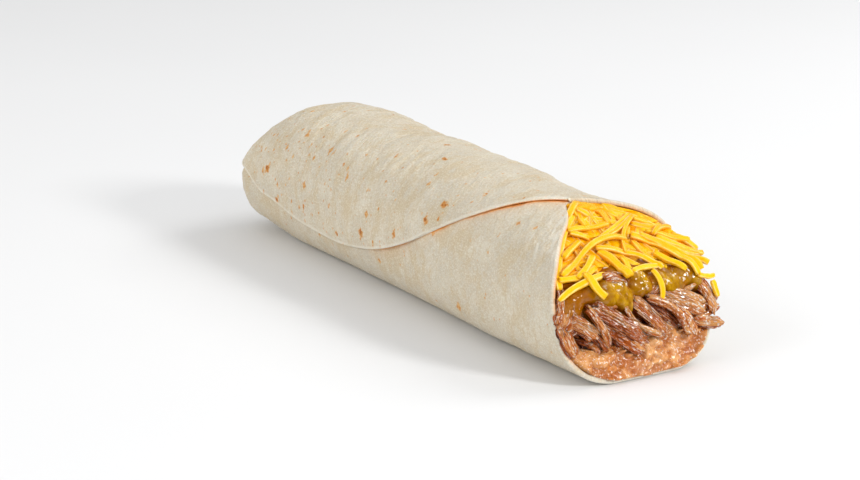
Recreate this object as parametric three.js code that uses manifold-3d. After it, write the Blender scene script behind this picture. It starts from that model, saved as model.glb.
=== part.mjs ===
// A burrito: one round flour tortilla rolled round four layers of filling, open at the front.
// Millimetres, +Z up. +X runs along the roll towards the open end, -Y is the side with the seam.
import * as THREE from "three";
import { mergeVertices } from "three/addons/utils/BufferGeometryUtils.js";
import Module from "manifold-3d";

const wasm = await Module();
wasm.setup();

// --- Driving sizes -----------------------------------------------------------------------
const ROLL = {
  length: 229, // closed end to the front of the underside
  sheet: 1.7, // thickness of the tortilla
  sag: 0.45, // how far the underside is pressed flat on what it lies on
  upperCurve: 2.08, // superellipse exponent of the upper half of a section
  lowerCurve: 3.4, // and of the lower half, which is boxier
  tuck: 8, // thickness of the folded sheet at the closed end
  step: 1.8, // height of the flap's edge over the sheet below it
};
// Sections from the closed end to the open one: share of the length, width, height, lift.
const SECTIONS = [
  [0.0, 53.0, 29.0, 6.3],
  [0.06, 63.0, 44.0, 2.8],
  [0.18, 62.6, 53.8, 0.0],
  [0.4, 62.0, 52.2, 0.0],
  [0.7, 62.4, 50.8, 0.0],
  [1.0, 59.0, 48.2, 0.0],
];
// The flap is the round edge of the tortilla laid on the roll, unrolled: [along, round].
const DISC = { along: -43, round: -87, radius: 145 };
// The sheet's other edge, inside the roll.
const INNER_EDGE = { along: -30, round: 100, radius: 145 };
// Open edge: share of the way round from the top over the seam side, and place along the roll.
const OPEN_EDGE = [
  [-0.19, 90.5],
  [-0.14, 83],
  [-0.1, 78],
  [-0.035, 73.5],
  [0.007, 72],
  [0.038, 79],
  [0.066, 85],
  [0.1, 90],
  [0.135, 95],
  [0.175, 100],
  [0.218, 103.3],
  [0.258, 105],
  [0.32, 109],
  [0.36, 112.5],
  [0.42, 114.2],
  [0.5, 114.5],
  [0.57, 114.2],
  [0.62, 113],
  [0.66, 112],
  [0.71, 109.5],
  [0.75, 106.5],
  [0.78, 101],
  [0.81, 90.5],
];
// The far upper side stands a little open at its edge.
const FLARE = { out: 4.2, from: 62, over: 30, at: -0.14, width: 0.13 };
// Dents that flatten the roll: [along, share of the way round, reach along, reach round, depth].
const DENTS = [
  [-105, 0.125, 18, 0.11, 1.2],
  [-74, -0.085, 16, 0.08, 1.2],
  [47, -0.09, 22, 0.08, 1.6],
];
const CLOSING = { from: -86, over: 28, share: 0.055 }; // the flap's edge climbs at the closed end
const CORNER = 72; // where the flap's edge runs into the open edge
const BEND_FROM = 40; // rings lean towards the open edge from here on
const FIT = 0.3; // clearance between two solids that lie on each other

// --- Small maths -------------------------------------------------------------------------
const HALF = ROLL.length / 2;
const lerp = (a, b, f) => a + (b - a) * f;
const clamp01 = (f) => Math.min(1, Math.max(0, f));
const smooth = (f) => clamp01(f) ** 2 * (3 - 2 * clamp01(f));
const hump = (f, at, width) => smooth(1 - Math.abs(f - at) / width);
const range = (count) => Array.from({ length: count }, (_, i) => i);

/** A monotone curve through [x, y] pairs. */
function curve(pairs) {
  const xs = pairs.map((p) => p[0]);
  const ys = pairs.map((p) => p[1]);
  const slopes = range(xs.length - 1).map((i) => (ys[i + 1] - ys[i]) / (xs[i + 1] - xs[i]));
  const tangents = xs.map((_, i) => {
    const before = slopes[Math.max(0, i - 1)];
    const after = slopes[Math.min(slopes.length - 1, i)];
    return before * after <= 0 ? 0 : (2 * before * after) / (before + after);
  });
  return (x) => {
    const at = Math.min(xs.length - 1, Math.max(0, xs.findIndex((v) => v > x) - 1));
    const i = x >= xs[xs.length - 1] ? xs.length - 2 : at;
    const span = xs[i + 1] - xs[i];
    const f = clamp01((x - xs[i]) / span);
    const turnIn = f * (1 - f) * span * (tangents[i] * (1 - f) - tangents[i + 1] * f);
    return lerp(ys[i], ys[i + 1], smooth(f)) + turnIn;
  };
}

/** Even random numbers from 0 to 1, the same on every run. */
function draws(seed) {
  let state = seed;
  return () => {
    state = (state * 16807) % 2147483647;
    return state / 2147483647;
  };
}

const widthAt = curve(SECTIONS.map(([u, w]) => [u, w]));
const heightAt = curve(SECTIONS.map(([u, , h]) => [u, h]));
const liftAt = curve(SECTIONS.map(([u, , , lift]) => [u, lift]));
const openEdge = curve(OPEN_EDGE);

const discEdge = (disc, sign) => (x) =>
  disc.round + sign * Math.sqrt(Math.max(0, disc.radius ** 2 - (x - disc.along) ** 2));
const seamArc = discEdge(DISC, 1);
const innerArc = discEdge(INNER_EDGE, -1);

// --- The roll's section --------------------------------------------------------------------
const RING_STEPS = 240;
const rings = new Map();

/** One section's outline with the arc length to each point, from the top over the seam side. */
function ring(x) {
  const key = Math.round(x * 20);
  if (!rings.has(key)) {
    const u = (key / 20 + HALF) / ROLL.length;
    const halfWidth = widthAt(u) / 2;
    const halfHeight = heightAt(u) / 2;
    const points = range(RING_STEPS + 1).map((i) => {
      const angle = (i / RING_STEPS) * 2 * Math.PI;
      const across = Math.sin(angle);
      const upward = Math.cos(angle);
      const exponent = 2 / (upward > 0 ? ROLL.upperCurve : ROLL.lowerCurve);
      const y = -halfWidth * Math.sign(across) * Math.abs(across) ** exponent;
      const z = halfHeight * (1 + Math.sign(upward) * Math.abs(upward) ** exponent);
      return [y, z + liftAt(u)];
    });
    const arcs = [0];
    for (const i of range(RING_STEPS)) {
      const [y0, z0] = points[i];
      const [y1, z1] = points[i + 1];
      arcs.push(arcs[i] + Math.hypot(y1 - y0, z1 - z0));
    }
    rings.set(key, { points, arcs, girth: arcs[RING_STEPS] });
  }
  return rings.get(key);
}

const girthAt = (x) => ring(x).girth;

/** The outline's point at a share of the girth. */
function outline(x, share) {
  const { points, arcs, girth } = ring(x);
  const arc = (share - Math.floor(share)) * girth;
  let low = 0;
  let high = RING_STEPS;
  while (high - low > 1) {
    const middle = (low + high) >> 1;
    if (arcs[middle] > arc) high = middle;
    else low = middle;
  }
  const f = (arc - arcs[low]) / Math.max(1e-9, arcs[high] - arcs[low]);
  return [lerp(points[low][0], points[high][0], f), lerp(points[low][1], points[high][1], f)];
}

/** Soft dents and swellings of the rolled sheet, outward, none where it lies flat. */
function unevenness(x, share) {
  const turn = share * 2 * Math.PI;
  const waves =
    0.32 * Math.sin(x * 0.052 + 2.1 * Math.sin(turn + 0.6)) +
    0.26 * Math.sin(x * 0.115 - 3 * turn + 1.3) +
    0.16 * Math.sin(x * 0.21 + 4 * turn);
  const turned = wrapped(share);
  const flare = FLARE.out * smooth((x - FLARE.from) / FLARE.over) * hump(turned, FLARE.at, FLARE.width);
  const dents = DENTS.map(([along, at, reach, width, deep]) => {
    return deep * hump(x, along, reach) * hump(turned, at, width);
  });
  const upper = smooth((0.34 - Math.abs(share - Math.round(share))) / 0.1);
  return waves * upper + flare - Math.max(...dents);
}

/** A point of the roll: along, share of the girth, and depth under the outline. */
function rollPoint(x, share, depth) {
  const [y, z] = outline(x, share);
  const [ya, za] = outline(x, share - 0.012);
  const [yb, zb] = outline(x, share + 0.012);
  const size = Math.hypot(yb - ya, zb - za);
  const inward = [(zb - za) / size, (ya - yb) / size];
  const lowest = ROLL.sag + Math.max(0, liftAt((x + HALF) / ROLL.length));
  const bedded = Math.max(z, lowest);
  return [x, y + inward[0] * -depth, bedded - inward[1] * depth - ROLL.sag];
}

// --- The sheet along the seam ----------------------------------------------------------------
/** Where a ring's point lies along the roll: rings lean to meet the open edge. */
function leanTo(x, lean, share) {
  return lean === 0 ? x : lerp(BEND_FROM, openEdge(wrapped(share)), lean);
}

/** A share of the girth brought into the open edge's range. */
const wrapped = (share) => share - Math.floor(share + 0.19);

/** The seam's share of the girth at a place along the roll. */
function seamShare(x) {
  const held = Math.max(-100, Math.min(CORNER, x));
  return seamArc(held) / girthAt(held) - CLOSING.share * smooth((CLOSING.from - x) / CLOSING.over);
}

/** Where a ring's loop starts and ends: where the ring crosses the seam. */
function seamStart(x, lean) {
  if (lean === 0) return seamShare(x);
  let [low, high] = [BEND_FROM, CORNER];
  while (high - low > 0.01) {
    const middle = (low + high) / 2;
    if (leanTo(x, lean, seamShare(middle)) > middle) low = middle;
    else high = middle;
  }
  return seamShare(high);
}

/** How flat the roll is pressed: one in the middle of the underside, none up its sides. */
const flatness = (share) => smooth((0.15 - Math.abs(wrapped(share) - 0.5)) / 0.06);

/** Depth of the sheet's outer face: it starts under the flap and climbs over it in one turn. */
function outerDepth(x, share, turn) {
  const under = ROLL.step * (1 - smooth(turn / 0.3)) * (1 - flatness(share));
  const flapLift = 0.4 * smooth((x - 30) / 35) * smooth((turn - 0.93) / 0.07);
  return under - flapLift;
}

/** Depth of the sheet's inner face: two sheets thick where the flap covers the other edge. */
function innerDepth(x, share) {
  const fromSeam = share - seamShare(x);
  const turn = fromSeam - Math.floor(fromSeam);
  const overlapStart = innerArc(x) / girthAt(x);
  const covered = smooth((wrapped(share) - overlapStart) / 0.03) * smooth((turn - 0.4) / 0.1);
  const second = x < CORNER ? covered * smooth((CORNER - x) / 6) : 0;
  const outer = Math.max(0, outerDepth(x, share, Math.min(turn, 0.92)));
  return outer + ROLL.sheet + second * ROLL.step;
}

const TURNS = [0, 0.018, 0.045, ...range(27).map((i) => 0.075 + (i * 0.845) / 26), 0.95, 0.975, 0.992];

/** One closed loop of the sheet's outer face, ending with the flap's rounded edge. */
function outerLoop(x, lean, pad = 0) {
  const start = seamStart(x, lean);
  const seamX = leanTo(x, lean, start);
  const face = TURNS.map((turn) => {
    const share = start + turn;
    const at = leanTo(x, lean, share);
    const depth = outerDepth(at, share, turn) - unevenness(at, share) - pad;
    return rollPoint(at, share, depth);
  });
  const edge = rollPoint(seamX, start + 1, 0.45 * ROLL.step - unevenness(seamX, start));
  return [...face, edge];
}

/** One closed loop of the sheet's inner face. */
function innerLoop(x, lean, pad = 0, reach = 0) {
  return [...TURNS, 0.998].map((turn) => {
    const share = seamShare(CORNER) + turn;
    const at = leanTo(x, lean, share);
    const depth = innerDepth(at, share) + pad - unevenness(at, share);
    const [, y, z] = rollPoint(at, share, depth);
    return [at + reach, y, z];
  });
}

/** Distance between two points of a flat list. */
const apart = (positions, i, j) =>
  Math.hypot(...range(3).map((k) => positions[3 * i + k] - positions[3 * j + k]));

/** A closed body lofted over loops of points, drawn to a point at both ends. */
function loft(loops, firstTip, lastTip) {
  const count = loops[0].length;
  const positions = [firstTip, ...loops.flat(), lastTip].flat();
  const at = (row, column) => 1 + row * count + (column % count);
  const last = 1 + loops.length * count;
  const faces = [];
  for (const column of range(count)) {
    faces.push(0, at(0, column + 1), at(0, column));
    faces.push(last, at(loops.length - 1, column), at(loops.length - 1, column + 1));
    for (const row of range(loops.length - 1)) {
      const [a, b] = [at(row, column), at(row, column + 1)];
      const [c, d] = [at(row + 1, column), at(row + 1, column + 1)];
      const falling = apart(positions, a, d) < apart(positions, b, c);
      if (falling) faces.push(a, b, d, a, d, c);
      else faces.push(a, b, c, b, d, c);
    }
  }
  return body(positions, faces);
}

/** A three.js geometry of points and faces, turned outward. */
function body(positions, faces) {
  let volume = 0;
  const corner = (i) => new THREE.Vector3().fromArray(positions, faces[i] * 3);
  for (let i = 0; i < faces.length; i += 3) {
    volume += corner(i).dot(corner(i + 1).cross(corner(i + 2)));
  }
  if (volume < 0) faces.reverse();
  const geometry = new THREE.BufferGeometry();
  geometry.setAttribute("position", new THREE.Float32BufferAttribute(positions, 3));
  geometry.setIndex(faces);
  return geometry;
}

// --- Joining and cutting ----------------------------------------------------------------------
/** The solid of a closed geometry. */
function solid(geometry) {
  const plain = geometry.clone();
  plain.deleteAttribute("normal");
  plain.deleteAttribute("uv");
  const merged = mergeVertices(plain, 1e-4);
  const mesh = new wasm.Mesh({
    numProp: 3,
    vertProperties: new Float32Array(merged.attributes.position.array),
    triVerts: new Uint32Array(merged.index.array),
  });
  return new wasm.Manifold(mesh);
}

const joined = (solids) => solids.reduce((whole, piece) => whole.add(piece));

/** The largest piece of a cut solid, without loose scraps or sealed hollows. */
const mainPiece = (whole) => whole.decompose().reduce((a, b) => (b.volume() > a.volume() ? b : a));

/** A named mesh of a solid. */
function meshOf(whole, name, colour, roughness) {
  const { vertProperties, triVerts } = whole.getMesh();
  const geometry = new THREE.BufferGeometry();
  geometry.setAttribute("position", new THREE.Float32BufferAttribute(vertProperties, 3));
  geometry.setIndex([...triVerts]);
  geometry.computeVertexNormals();
  const material = new THREE.MeshStandardMaterial({ color: colour, roughness, metalness: 0 });
  const mesh = new THREE.Mesh(geometry, material);
  mesh.name = name;
  return mesh;
}

// --- Tortilla -----------------------------------------------------------------------------------
const BODY_ROWS = [-114.5, -111.5, -107.5, -103, -98, -92, ...range(12).map((i) => -85 + i * 10.5), BEND_FROM];
const LEANS = [0.12, 0.25, 0.38, 0.51, 0.64, 0.76, 0.87, 0.96];
const CAVITY_ROWS = [-104, -97, -84, -50, -5, BEND_FROM];
const CAVITY_LEANS = [0.25, 0.5, 0.75, 0.96];

/** The tucked closed end: loops of the last section drawn in, with a shallow fold. */
function endLoops(pad) {
  const rim = outerLoop(-HALF, 0, pad);
  const middle = [-HALF, 0, 6.3 + 13.2];
  const shrink = (share, back) =>
    rim.map(([, y, z], i) => {
      const fold = 0.7 * Math.sin((i / rim.length) * 2 * Math.PI * 2 + share * 5);
      return [
        -HALF - back - fold * (1 - share) - pad,
        lerp(middle[1], y, share),
        lerp(middle[2], z, share),
      ];
    });
  return [shrink(0.22, 0.3), shrink(0.5, 1.6), shrink(0.78, 2.2), shrink(0.93, 1.5)];
}

/** The rolled sheet: outer face, rounded open edge, inner face. */
function tortilla(pad = 0) {
  const outer = [
    ...BODY_ROWS.map((x) => outerLoop(x, 0, pad)),
    ...LEANS.map((lean) => outerLoop(BEND_FROM, lean, pad)),
    outerLoop(BEND_FROM, 1, pad).map(([x, y, z]) => [x - 0.5 + pad, y, z]),
  ];
  const outerEdge = outer[outer.length - 1];
  const innerEdge = innerLoop(BEND_FROM, 1, pad, pad - 0.5);
  const lip = outerEdge.map(([x, y, z], i) => {
    const [, yIn, zIn] = innerEdge[i];
    return [x + 0.5, lerp(y, yIn, 0.5), lerp(z, zIn, 0.5)];
  });
  const inner = [
    innerEdge,
    ...CAVITY_LEANS.map((lean) => innerLoop(BEND_FROM, lean, pad)).reverse(),
    ...CAVITY_ROWS.map((x) => innerLoop(x, 0, pad)).reverse(),
  ];
  const backTip = [-HALF - pad, 0, 6.3 + 13.2];
  const cavityTip = [-HALF + ROLL.tuck + 1 + pad, 0, 22];
  return solid(loft([...endLoops(pad), ...outer, lip, ...inner], backTip, cavityTip));
}

// --- Filling: shared frames ----------------------------------------------------------------------
// The filling stands in two sloping faces. The upper one leans back along the cut-back top of
// the open edge, and the lower one is nearly upright.
const UPPER = { x: 76, z: 47, slope: (31 * Math.PI) / 180 };
const LOWER = { x: 115, z: 2, lean: 0.385 };

/** A point on the upper face: across, down the slope, and height over it. */
const onSlope = (across, down, height) => [
  UPPER.x + down * Math.cos(UPPER.slope) + height * Math.sin(UPPER.slope),
  across,
  UPPER.z - down * Math.sin(UPPER.slope) + height * Math.cos(UPPER.slope),
];

/** How far the filling's edge stands back inside the open edge. */
const edgeBack = (y) => 3.2 * smooth((-y - 13) / 13) + 0.8 * smooth((y - 17) / 10);

/** A point on the lower face: across, height over the table, and how far it stands out. */
function onFace(across, z, out) {
  const size = Math.hypot(1, LOWER.lean);
  const x = LOWER.x - (z - LOWER.z) * LOWER.lean - edgeBack(across);
  return [x + out / size, across, z + (out * LOWER.lean) / size];
}

/** The room inside the tortilla, run straight on past the open edge. */
function cavity(pad) {
  const gap = FIT - pad;
  const rows = [
    ...CAVITY_ROWS.map((x) => innerLoop(x, 0, gap)),
    ...CAVITY_LEANS.map((lean) => innerLoop(BEND_FROM, lean, gap)),
    innerLoop(BEND_FROM, 1, gap, -0.5),
  ];
  const front = rows[rows.length - 1].map(([, y, z]) => [128, y, z]);
  const backTip = [-HALF + ROLL.tuck + 1 + gap, 0, 22];
  return solid(loft([...rows, front], backTip, [128, 0, 22]));
}

/** A block between two grids of points, row by row, that share their outline's order. */
function slab(near, far) {
  const rows = near.length;
  const columns = near[0].length;
  const positions = [...near.flat(), ...far.flat()].flat();
  const side = rows * columns;
  const at = (layer, row, column) => layer * side + row * columns + column;
  const faces = [];
  const quad = (a, b, c, d) => faces.push(a, b, c, a, c, d);
  for (const r of range(rows - 1)) {
    for (const c of range(columns - 1)) {
      quad(at(0, r, c), at(0, r + 1, c), at(0, r + 1, c + 1), at(0, r, c + 1));
      quad(at(1, r, c), at(1, r, c + 1), at(1, r + 1, c + 1), at(1, r + 1, c));
    }
    quad(at(0, r, 0), at(1, r, 0), at(1, r + 1, 0), at(0, r + 1, 0));
    const c = columns - 1;
    quad(at(0, r, c), at(0, r + 1, c), at(1, r + 1, c), at(1, r, c));
  }
  for (const c of range(columns - 1)) {
    quad(at(0, 0, c), at(0, 0, c + 1), at(1, 0, c + 1), at(1, 0, c));
    const r = rows - 1;
    quad(at(0, r, c), at(1, r, c), at(1, r, c + 1), at(0, r, c + 1));
  }
  return solid(body(positions, faces));
}

/** Everything behind a lumpy front face, from one height to another. */
function behind(frontAt, bottom, top, acrossSteps, upSteps) {
  const grid = (place) =>
    range(upSteps + 1).map((row) =>
      range(acrossSteps + 1).map((column) => {
        const y = lerp(-34, 34, column / acrossSteps);
        const f = row / upSteps;
        return place(y, lerp(bottom(y), top(y), f));
      }),
    );
  return slab(
    grid((y, z) => [frontAt(y, z), y, z]),
    grid((y, z) => [-120, y, z]),
  );
}

/** A swept piece: a flattened many-sided section along a bowed line, narrowed at its ends. */
function swept(line, facing, width, thickness, sides, ends, steps) {
  const path = new THREE.QuadraticBezierCurve3(...line.map((p) => new THREE.Vector3(...p)));
  const reach = 0.5 / Math.cos(Math.PI / sides);
  const loops = range(steps + 1).map((i) => {
    const f = i / steps;
    const along = path.getTangent(f);
    const side = new THREE.Vector3().crossVectors(along, facing).normalize();
    const up = new THREE.Vector3().crossVectors(side, along).normalize();
    const taper = lerp(ends, 1, smooth(Math.min(f, 1 - f) * 4));
    return range(sides).map((k) => {
      const angle = ((k + 0.5) / sides) * 2 * Math.PI;
      return path
        .getPoint(f)
        .addScaledVector(side, Math.cos(angle) * width * reach * taper)
        .addScaledVector(up, Math.sin(angle) * thickness * reach * taper)
        .toArray();
    });
  });
  return solid(loft(loops, line[0], line[2]));
}

/** A rounded lump: a low-faced ball stretched to three half-axes. */
function lump(centre, halfX, halfY, halfZ, seed) {
  const ball = new THREE.IcosahedronGeometry(1, 1);
  const draw = draws(seed);
  const phase = draw() * 6;
  const points = ball.attributes.position;
  for (const i of range(points.count)) {
    const [x, y, z] = [points.getX(i), points.getY(i), points.getZ(i)];
    const swell = 1 + 0.12 * Math.sin(3 * x + phase) * Math.cos(2.5 * y + 3 * z);
    points.setXYZ(i, x * halfX * swell, y * halfY * swell, z * halfZ * swell);
  }
  ball.translate(...centre);
  return solid(ball);
}

// --- Refried beans ----------------------------------------------------------------------------------
/** Top of the beans across the roll. */
const beanTop = (y) => 12.4 + 1.6 * Math.sin(y * 0.16 + 1) + 2.6 * smooth((y - 6) / 14);

/** The bean paste's lumpy front. */
function beanFront(y, z) {
  const [flat] = onFace(y, z, -1.2);
  const lumps =
    0.9 * Math.sin(y * 0.62 + 1.7 * Math.sin(z * 0.5)) * Math.sin(z * 0.55 + y * 0.13 + 0.8) +
    0.45 * Math.sin(y * 1.3 - z * 0.9);
  return flat + lumps;
}

function beans() {
  const paste = behind(beanFront, () => -2, (y) => beanTop(y) - FIT / 2, 24, 8);
  return cavity(0).intersect(paste);
}

// --- Shredded meat --------------------------------------------------------------------------------------
/** Top of the meat across the roll. */
const meatTop = (y) => 24.5 + 1.2 * Math.sin(y * 0.2);

// Torn pieces on the front: [across, z] at each end, width, thickness, how far out, bow.
const CHUNKS = [
  [-25.5, 27, -26.5, 19.5, 6.5, 4, 0.6, 0.5],
  [-27, 18.5, -23.8, 11, 5, 3.4, 0.2, 0],
  [-21.5, 21.8, -17.6, 15.2, 6, 4, 1.2, 0.3],
  [-18, 25, -10.6, 12.2, 2.6, 2.6, 2.2, -0.8],
  [-13, 23.6, 1, 10.6, 6.2, 4.2, -0.2, 0.8],
  [-6.5, 22.4, 2.6, 11.8, 3.6, 3, 2, 1],
  [-3, 24, 8.6, 11.4, 2.8, 2.6, 2.6, 0.6],
  [1, 24.4, 9.6, 13.2, 3.8, 3, 2.2, 0.8],
  [5, 24, 15.5, 15, 4.5, 3.4, -0.8, 0.4],
  [5.5, 25, 18.5, 16.4, 3, 2.8, 1.4, 1.6],
  [11.5, 25.2, 22, 17.4, 5.4, 3.8, 1.2, 0.8],
  [22.5, 24, 27.4, 18, 4.6, 4, 2.2, 0.4],
  [17.5, 16.2, 28.8, 13.4, 4.4, 3.6, 5.4, 0.4],
  [-16.8, 18, -13, 12, 3.4, 2.8, -0.6, 0],
  [12.5, 16.5, 20.5, 12.5, 5.5, 3.6, 0.2, 0.6],
];

/** The torn pieces, each drawn out and thinned at its ends. */
function chunks(pad) {
  const facing = new THREE.Vector3(1, 0, LOWER.lean).normalize();
  return CHUNKS.map(([y0, z0, y1, z1, width, thickness, out, bow]) => {
    const start = onFace(y0, z0, Math.min(out, 1) - 2.2);
    const middle = onFace((y0 + y1) / 2 + bow, (z0 + z1) / 2 + bow, 0.9 * out + 1.2);
    const end = onFace(y1, z1, out - 0.4);
    const grown = 2 * pad;
    return swept([start, middle, end], facing, width + grown, thickness + grown, 6, 0.45, 4);
  });
}

function meat(pad = 0) {
  const front = (y, z) => onFace(y, z, -1.2)[0] + pad;
  const low = (y) => beanTop(y) + FIT / 2 - pad;
  const high = (y) => meatTop(y) - FIT / 2 + pad;
  const core = cavity(pad).intersect(behind(front, low, high, 10, 2));
  return joined([core, ...chunks(pad)]);
}

// --- Green chile sauce ------------------------------------------------------------------------------------
/** Top of the sauce across the roll. */
const sauceTop = (y) => 29.6 + 1.1 * Math.sin(y * 0.22 + 2);

// Pools and drips on the front: [across, z], half width, half height, half depth, how far out.
const POOLS = [
  [-22.5, 26.2, 5.2, 3.8, 2.6, 0.6],
  [-16.5, 27.2, 4.6, 3.2, 2.6, 1],
  [-7.5, 26.8, 5, 3.8, 2.6, 1],
  [-1.8, 24.8, 2.6, 3.6, 2.4, 1.4],
  [2, 28.2, 4.4, 3.4, 2.6, 1],
  [8.5, 27.8, 4, 2.8, 2.4, 0.6],
  [15, 26.4, 4, 3.8, 2.6, 1.2],
  [21, 27.2, 3.6, 3, 2.4, 1],
  [26, 27.6, 3, 4.2, 2.4, 1.6],
];

function sauce(pad = 0) {
  const front = (y, z) => onFace(y, z, -1.4)[0] + pad;
  const low = (y) => meatTop(y) + FIT / 2 - pad;
  const high = (y) => sauceTop(y) - FIT / 2 + pad;
  const core = cavity(pad).intersect(behind(front, low, high, 10, 1));
  const pools = POOLS.map(([y, z, halfWidth, halfHeight, halfDepth, out], i) =>
    lump(onFace(y, z, out), halfDepth + pad, halfWidth + pad, halfHeight + pad, 11 + i),
  );
  return joined([core, ...pools]);
}

// --- Shredded cheese ----------------------------------------------------------------------------------------
// The long shreds on top: [across, down] at each end, sideways bow, height over the heap, width.
const SHREDS = [
  [1, -2, -27.5, 31, -3.4, 1.2, 2],
  [10, 16, -22, 26.5, -5.4, 2.4, 1.8],
  [-1.5, 18, 13, 32, 4, 2.6, 1.9],
  [11, 15, 23.4, 36.6, 1.6, 1.8, 2.2],
  [17.5, 15.5, 25.6, 35.8, 1.2, 2.6, 2.2],
  [18.2, 4.6, 0.6, 13.4, 1.2, 1.8, 1.5],
  [16.8, 6, 2.4, 14.4, 1.2, 2.2, 1.4],
  [18, 6, 6.6, 21, -1.8, 3, 1.5],
  [-3.2, 18.8, -17.8, 28.2, -1.4, 3, 2],
  [-15.2, 26.4, -14, 38.4, 0.4, 3, 2.3],
  [10.4, 27.6, 6, 44, 2, 2.2, 2.1],
  [-9.4, 7.6, 7, 8, 0.4, 1.4, 1.7],
  [-23, 27, -14.6, 28.4, 0.5, 1.4, 1.6],
  [-24, 32.6, -10.6, 31, 0, 0.8, 2],
  [-30, 35, -20.8, 32, 0.8, 0.6, 2],
  [21, 15.6, 30.4, 13.2, 0, 1.8, 1.9],
  [18, 11.6, 31, 19, 0.6, 1, 2],
  [16.5, 14, 32, 22.4, 0.8, 1.6, 2],
  [19.5, 18.4, 32.3, 26, 0.6, 0.9, 1.9],
  [17, 19.4, 31, 29.6, 1, 1.6, 2],
  [21, 25, 31, 33, 0.4, 0.8, 1.8],
  [20, 29.6, 29.6, 36, 0.4, 1.2, 1.9],
  [21.6, 36.6, 29.4, 38, 0, 0.8, 1.6],
  [27, 32, 24.6, 46.4, 0.6, 1.4, 2],
  [1.4, -3.6, 9.2, 1.4, 1, 1.2, 1.8],
  [2.8, -0.8, 5.6, 9.2, 2, 1.6, 1.8],
  [12.4, 1, 13.2, 8, 0.4, 1, 1.8],
  [-7, 23.6, -0.4, 33.4, 1.2, 1.6, 2],
  [2.4, 23.8, 4.6, 33, 1, 1.8, 2],
];
const LOOSE_SHREDS = { count: 12, seed: 2718, shortest: 9, longest: 20 };

/** One shred: a square-cut strip that bows over the heap. */
function shred([a0, d0, a1, d1, bow, height, width], pad) {
  const facing = new THREE.Vector3(...onSlope(0, 0, 1)).sub(new THREE.Vector3(...onSlope(0, 0, 0)));
  const [across, down] = [a1 - a0, d1 - d0];
  const size = Math.hypot(across, down);
  const middle = onSlope(
    (a0 + a1) / 2 + (bow * 2 * down) / size,
    (d0 + d1) / 2 - (bow * 2 * across) / size,
    height + 0.8,
  );
  const line = [onSlope(a0, d0, Math.min(height, 0.8) - 1.5), middle, onSlope(a1, d1, height - 0.6)];
  return swept(line, facing, width + 2 * pad, 1.6 + 2 * pad, 4, 0.85, 3);
}

/** Shreds strewn between the long ones, mostly running down and outward. */
function looseShreds() {
  const draw = draws(LOOSE_SHREDS.seed);
  return range(LOOSE_SHREDS.count).map((i) => {
    const down = lerp(4, 32, (i + 0.5) / LOOSE_SHREDS.count) + (draw() - 0.5) * 3;
    const reach = lerp(9, 24, smooth(down / 26));
    const across = lerp(-reach + 4, reach + 3, draw());
    const heading = lerp(-1.1, 1.1, draw()) + across * 0.02;
    const half = lerp(LOOSE_SHREDS.shortest, LOOSE_SHREDS.longest, draw()) / 2;
    const [da, dd] = [Math.sin(heading) * half, Math.cos(heading) * half * 0.8];
    const bow = (draw() - 0.5) * 3;
    const height = lerp(-0.2, 1, draw());
    return [across - da, down - dd, across + da, down + dd, bow, height, lerp(1.4, 2, draw())];
  });
}

function cheese(pad = 0) {
  // The heap's top falls away with the slope, and its lip overhangs the sauce a little.
  const slopeX = (y, z) => UPPER.x + (UPPER.z - z) / Math.tan(UPPER.slope) - 2.2;
  const front = (y, z) => slopeX(y, z) + 0.6 * Math.sin(y * 0.5) - 1.5 * smooth((y + 8) / -18) + pad;
  const low = (y) => sauceTop(y) + FIT / 2 - pad;
  const core = cavity(pad).intersect(behind(front, low, () => 54, 12, 5));
  const shreds = [...SHREDS, ...looseShreds()].map((line) => shred(line, pad));
  return joined([core, ...shreds]);
}

// --- Assembly --------------------------------------------------------------------------------------------------
const wrap = tortilla();
const room = tortilla(FIT);
const cheeseRoom = cheese(FIT);
const sauceRoom = sauce(FIT);
const meatRoom = meat(FIT);

const layers = [
  [wrap, "tortilla", 0xe8dfc8, 0.85],
  [cheese().subtract(room), "shredded_cheese", 0xf7b91f, 0.45],
  [sauce().subtract(room).subtract(cheeseRoom), "green_chile_sauce", 0xa8842a, 0.25],
  [meat().subtract(room).subtract(cheeseRoom).subtract(sauceRoom), "shredded_meat", 0x96603f, 0.5],
  [
    beans().subtract(room).subtract(cheeseRoom).subtract(sauceRoom).subtract(meatRoom),
    "refried_beans",
    0xc08352,
    0.4,
  ],
];

const burrito = new THREE.Group();
burrito.name = "burrito";
for (const [whole, name, colour, roughness] of layers) {
  burrito.add(meshOf(mainPiece(whole), name, colour, roughness));
}

const box = new THREE.Box3().setFromObject(burrito);
const middle = box.getCenter(new THREE.Vector3());
for (const mesh of burrito.children) {
  mesh.geometry.translate(-middle.x, -middle.y, -box.min.z);
}

export default burrito;
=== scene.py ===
"""Looks of a burrito: a rolled flour tortilla round beans, meat, green chile sauce and cheese."""

import logging
import math
from collections.abc import Callable
from dataclasses import dataclass, field
from enum import Enum

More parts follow.
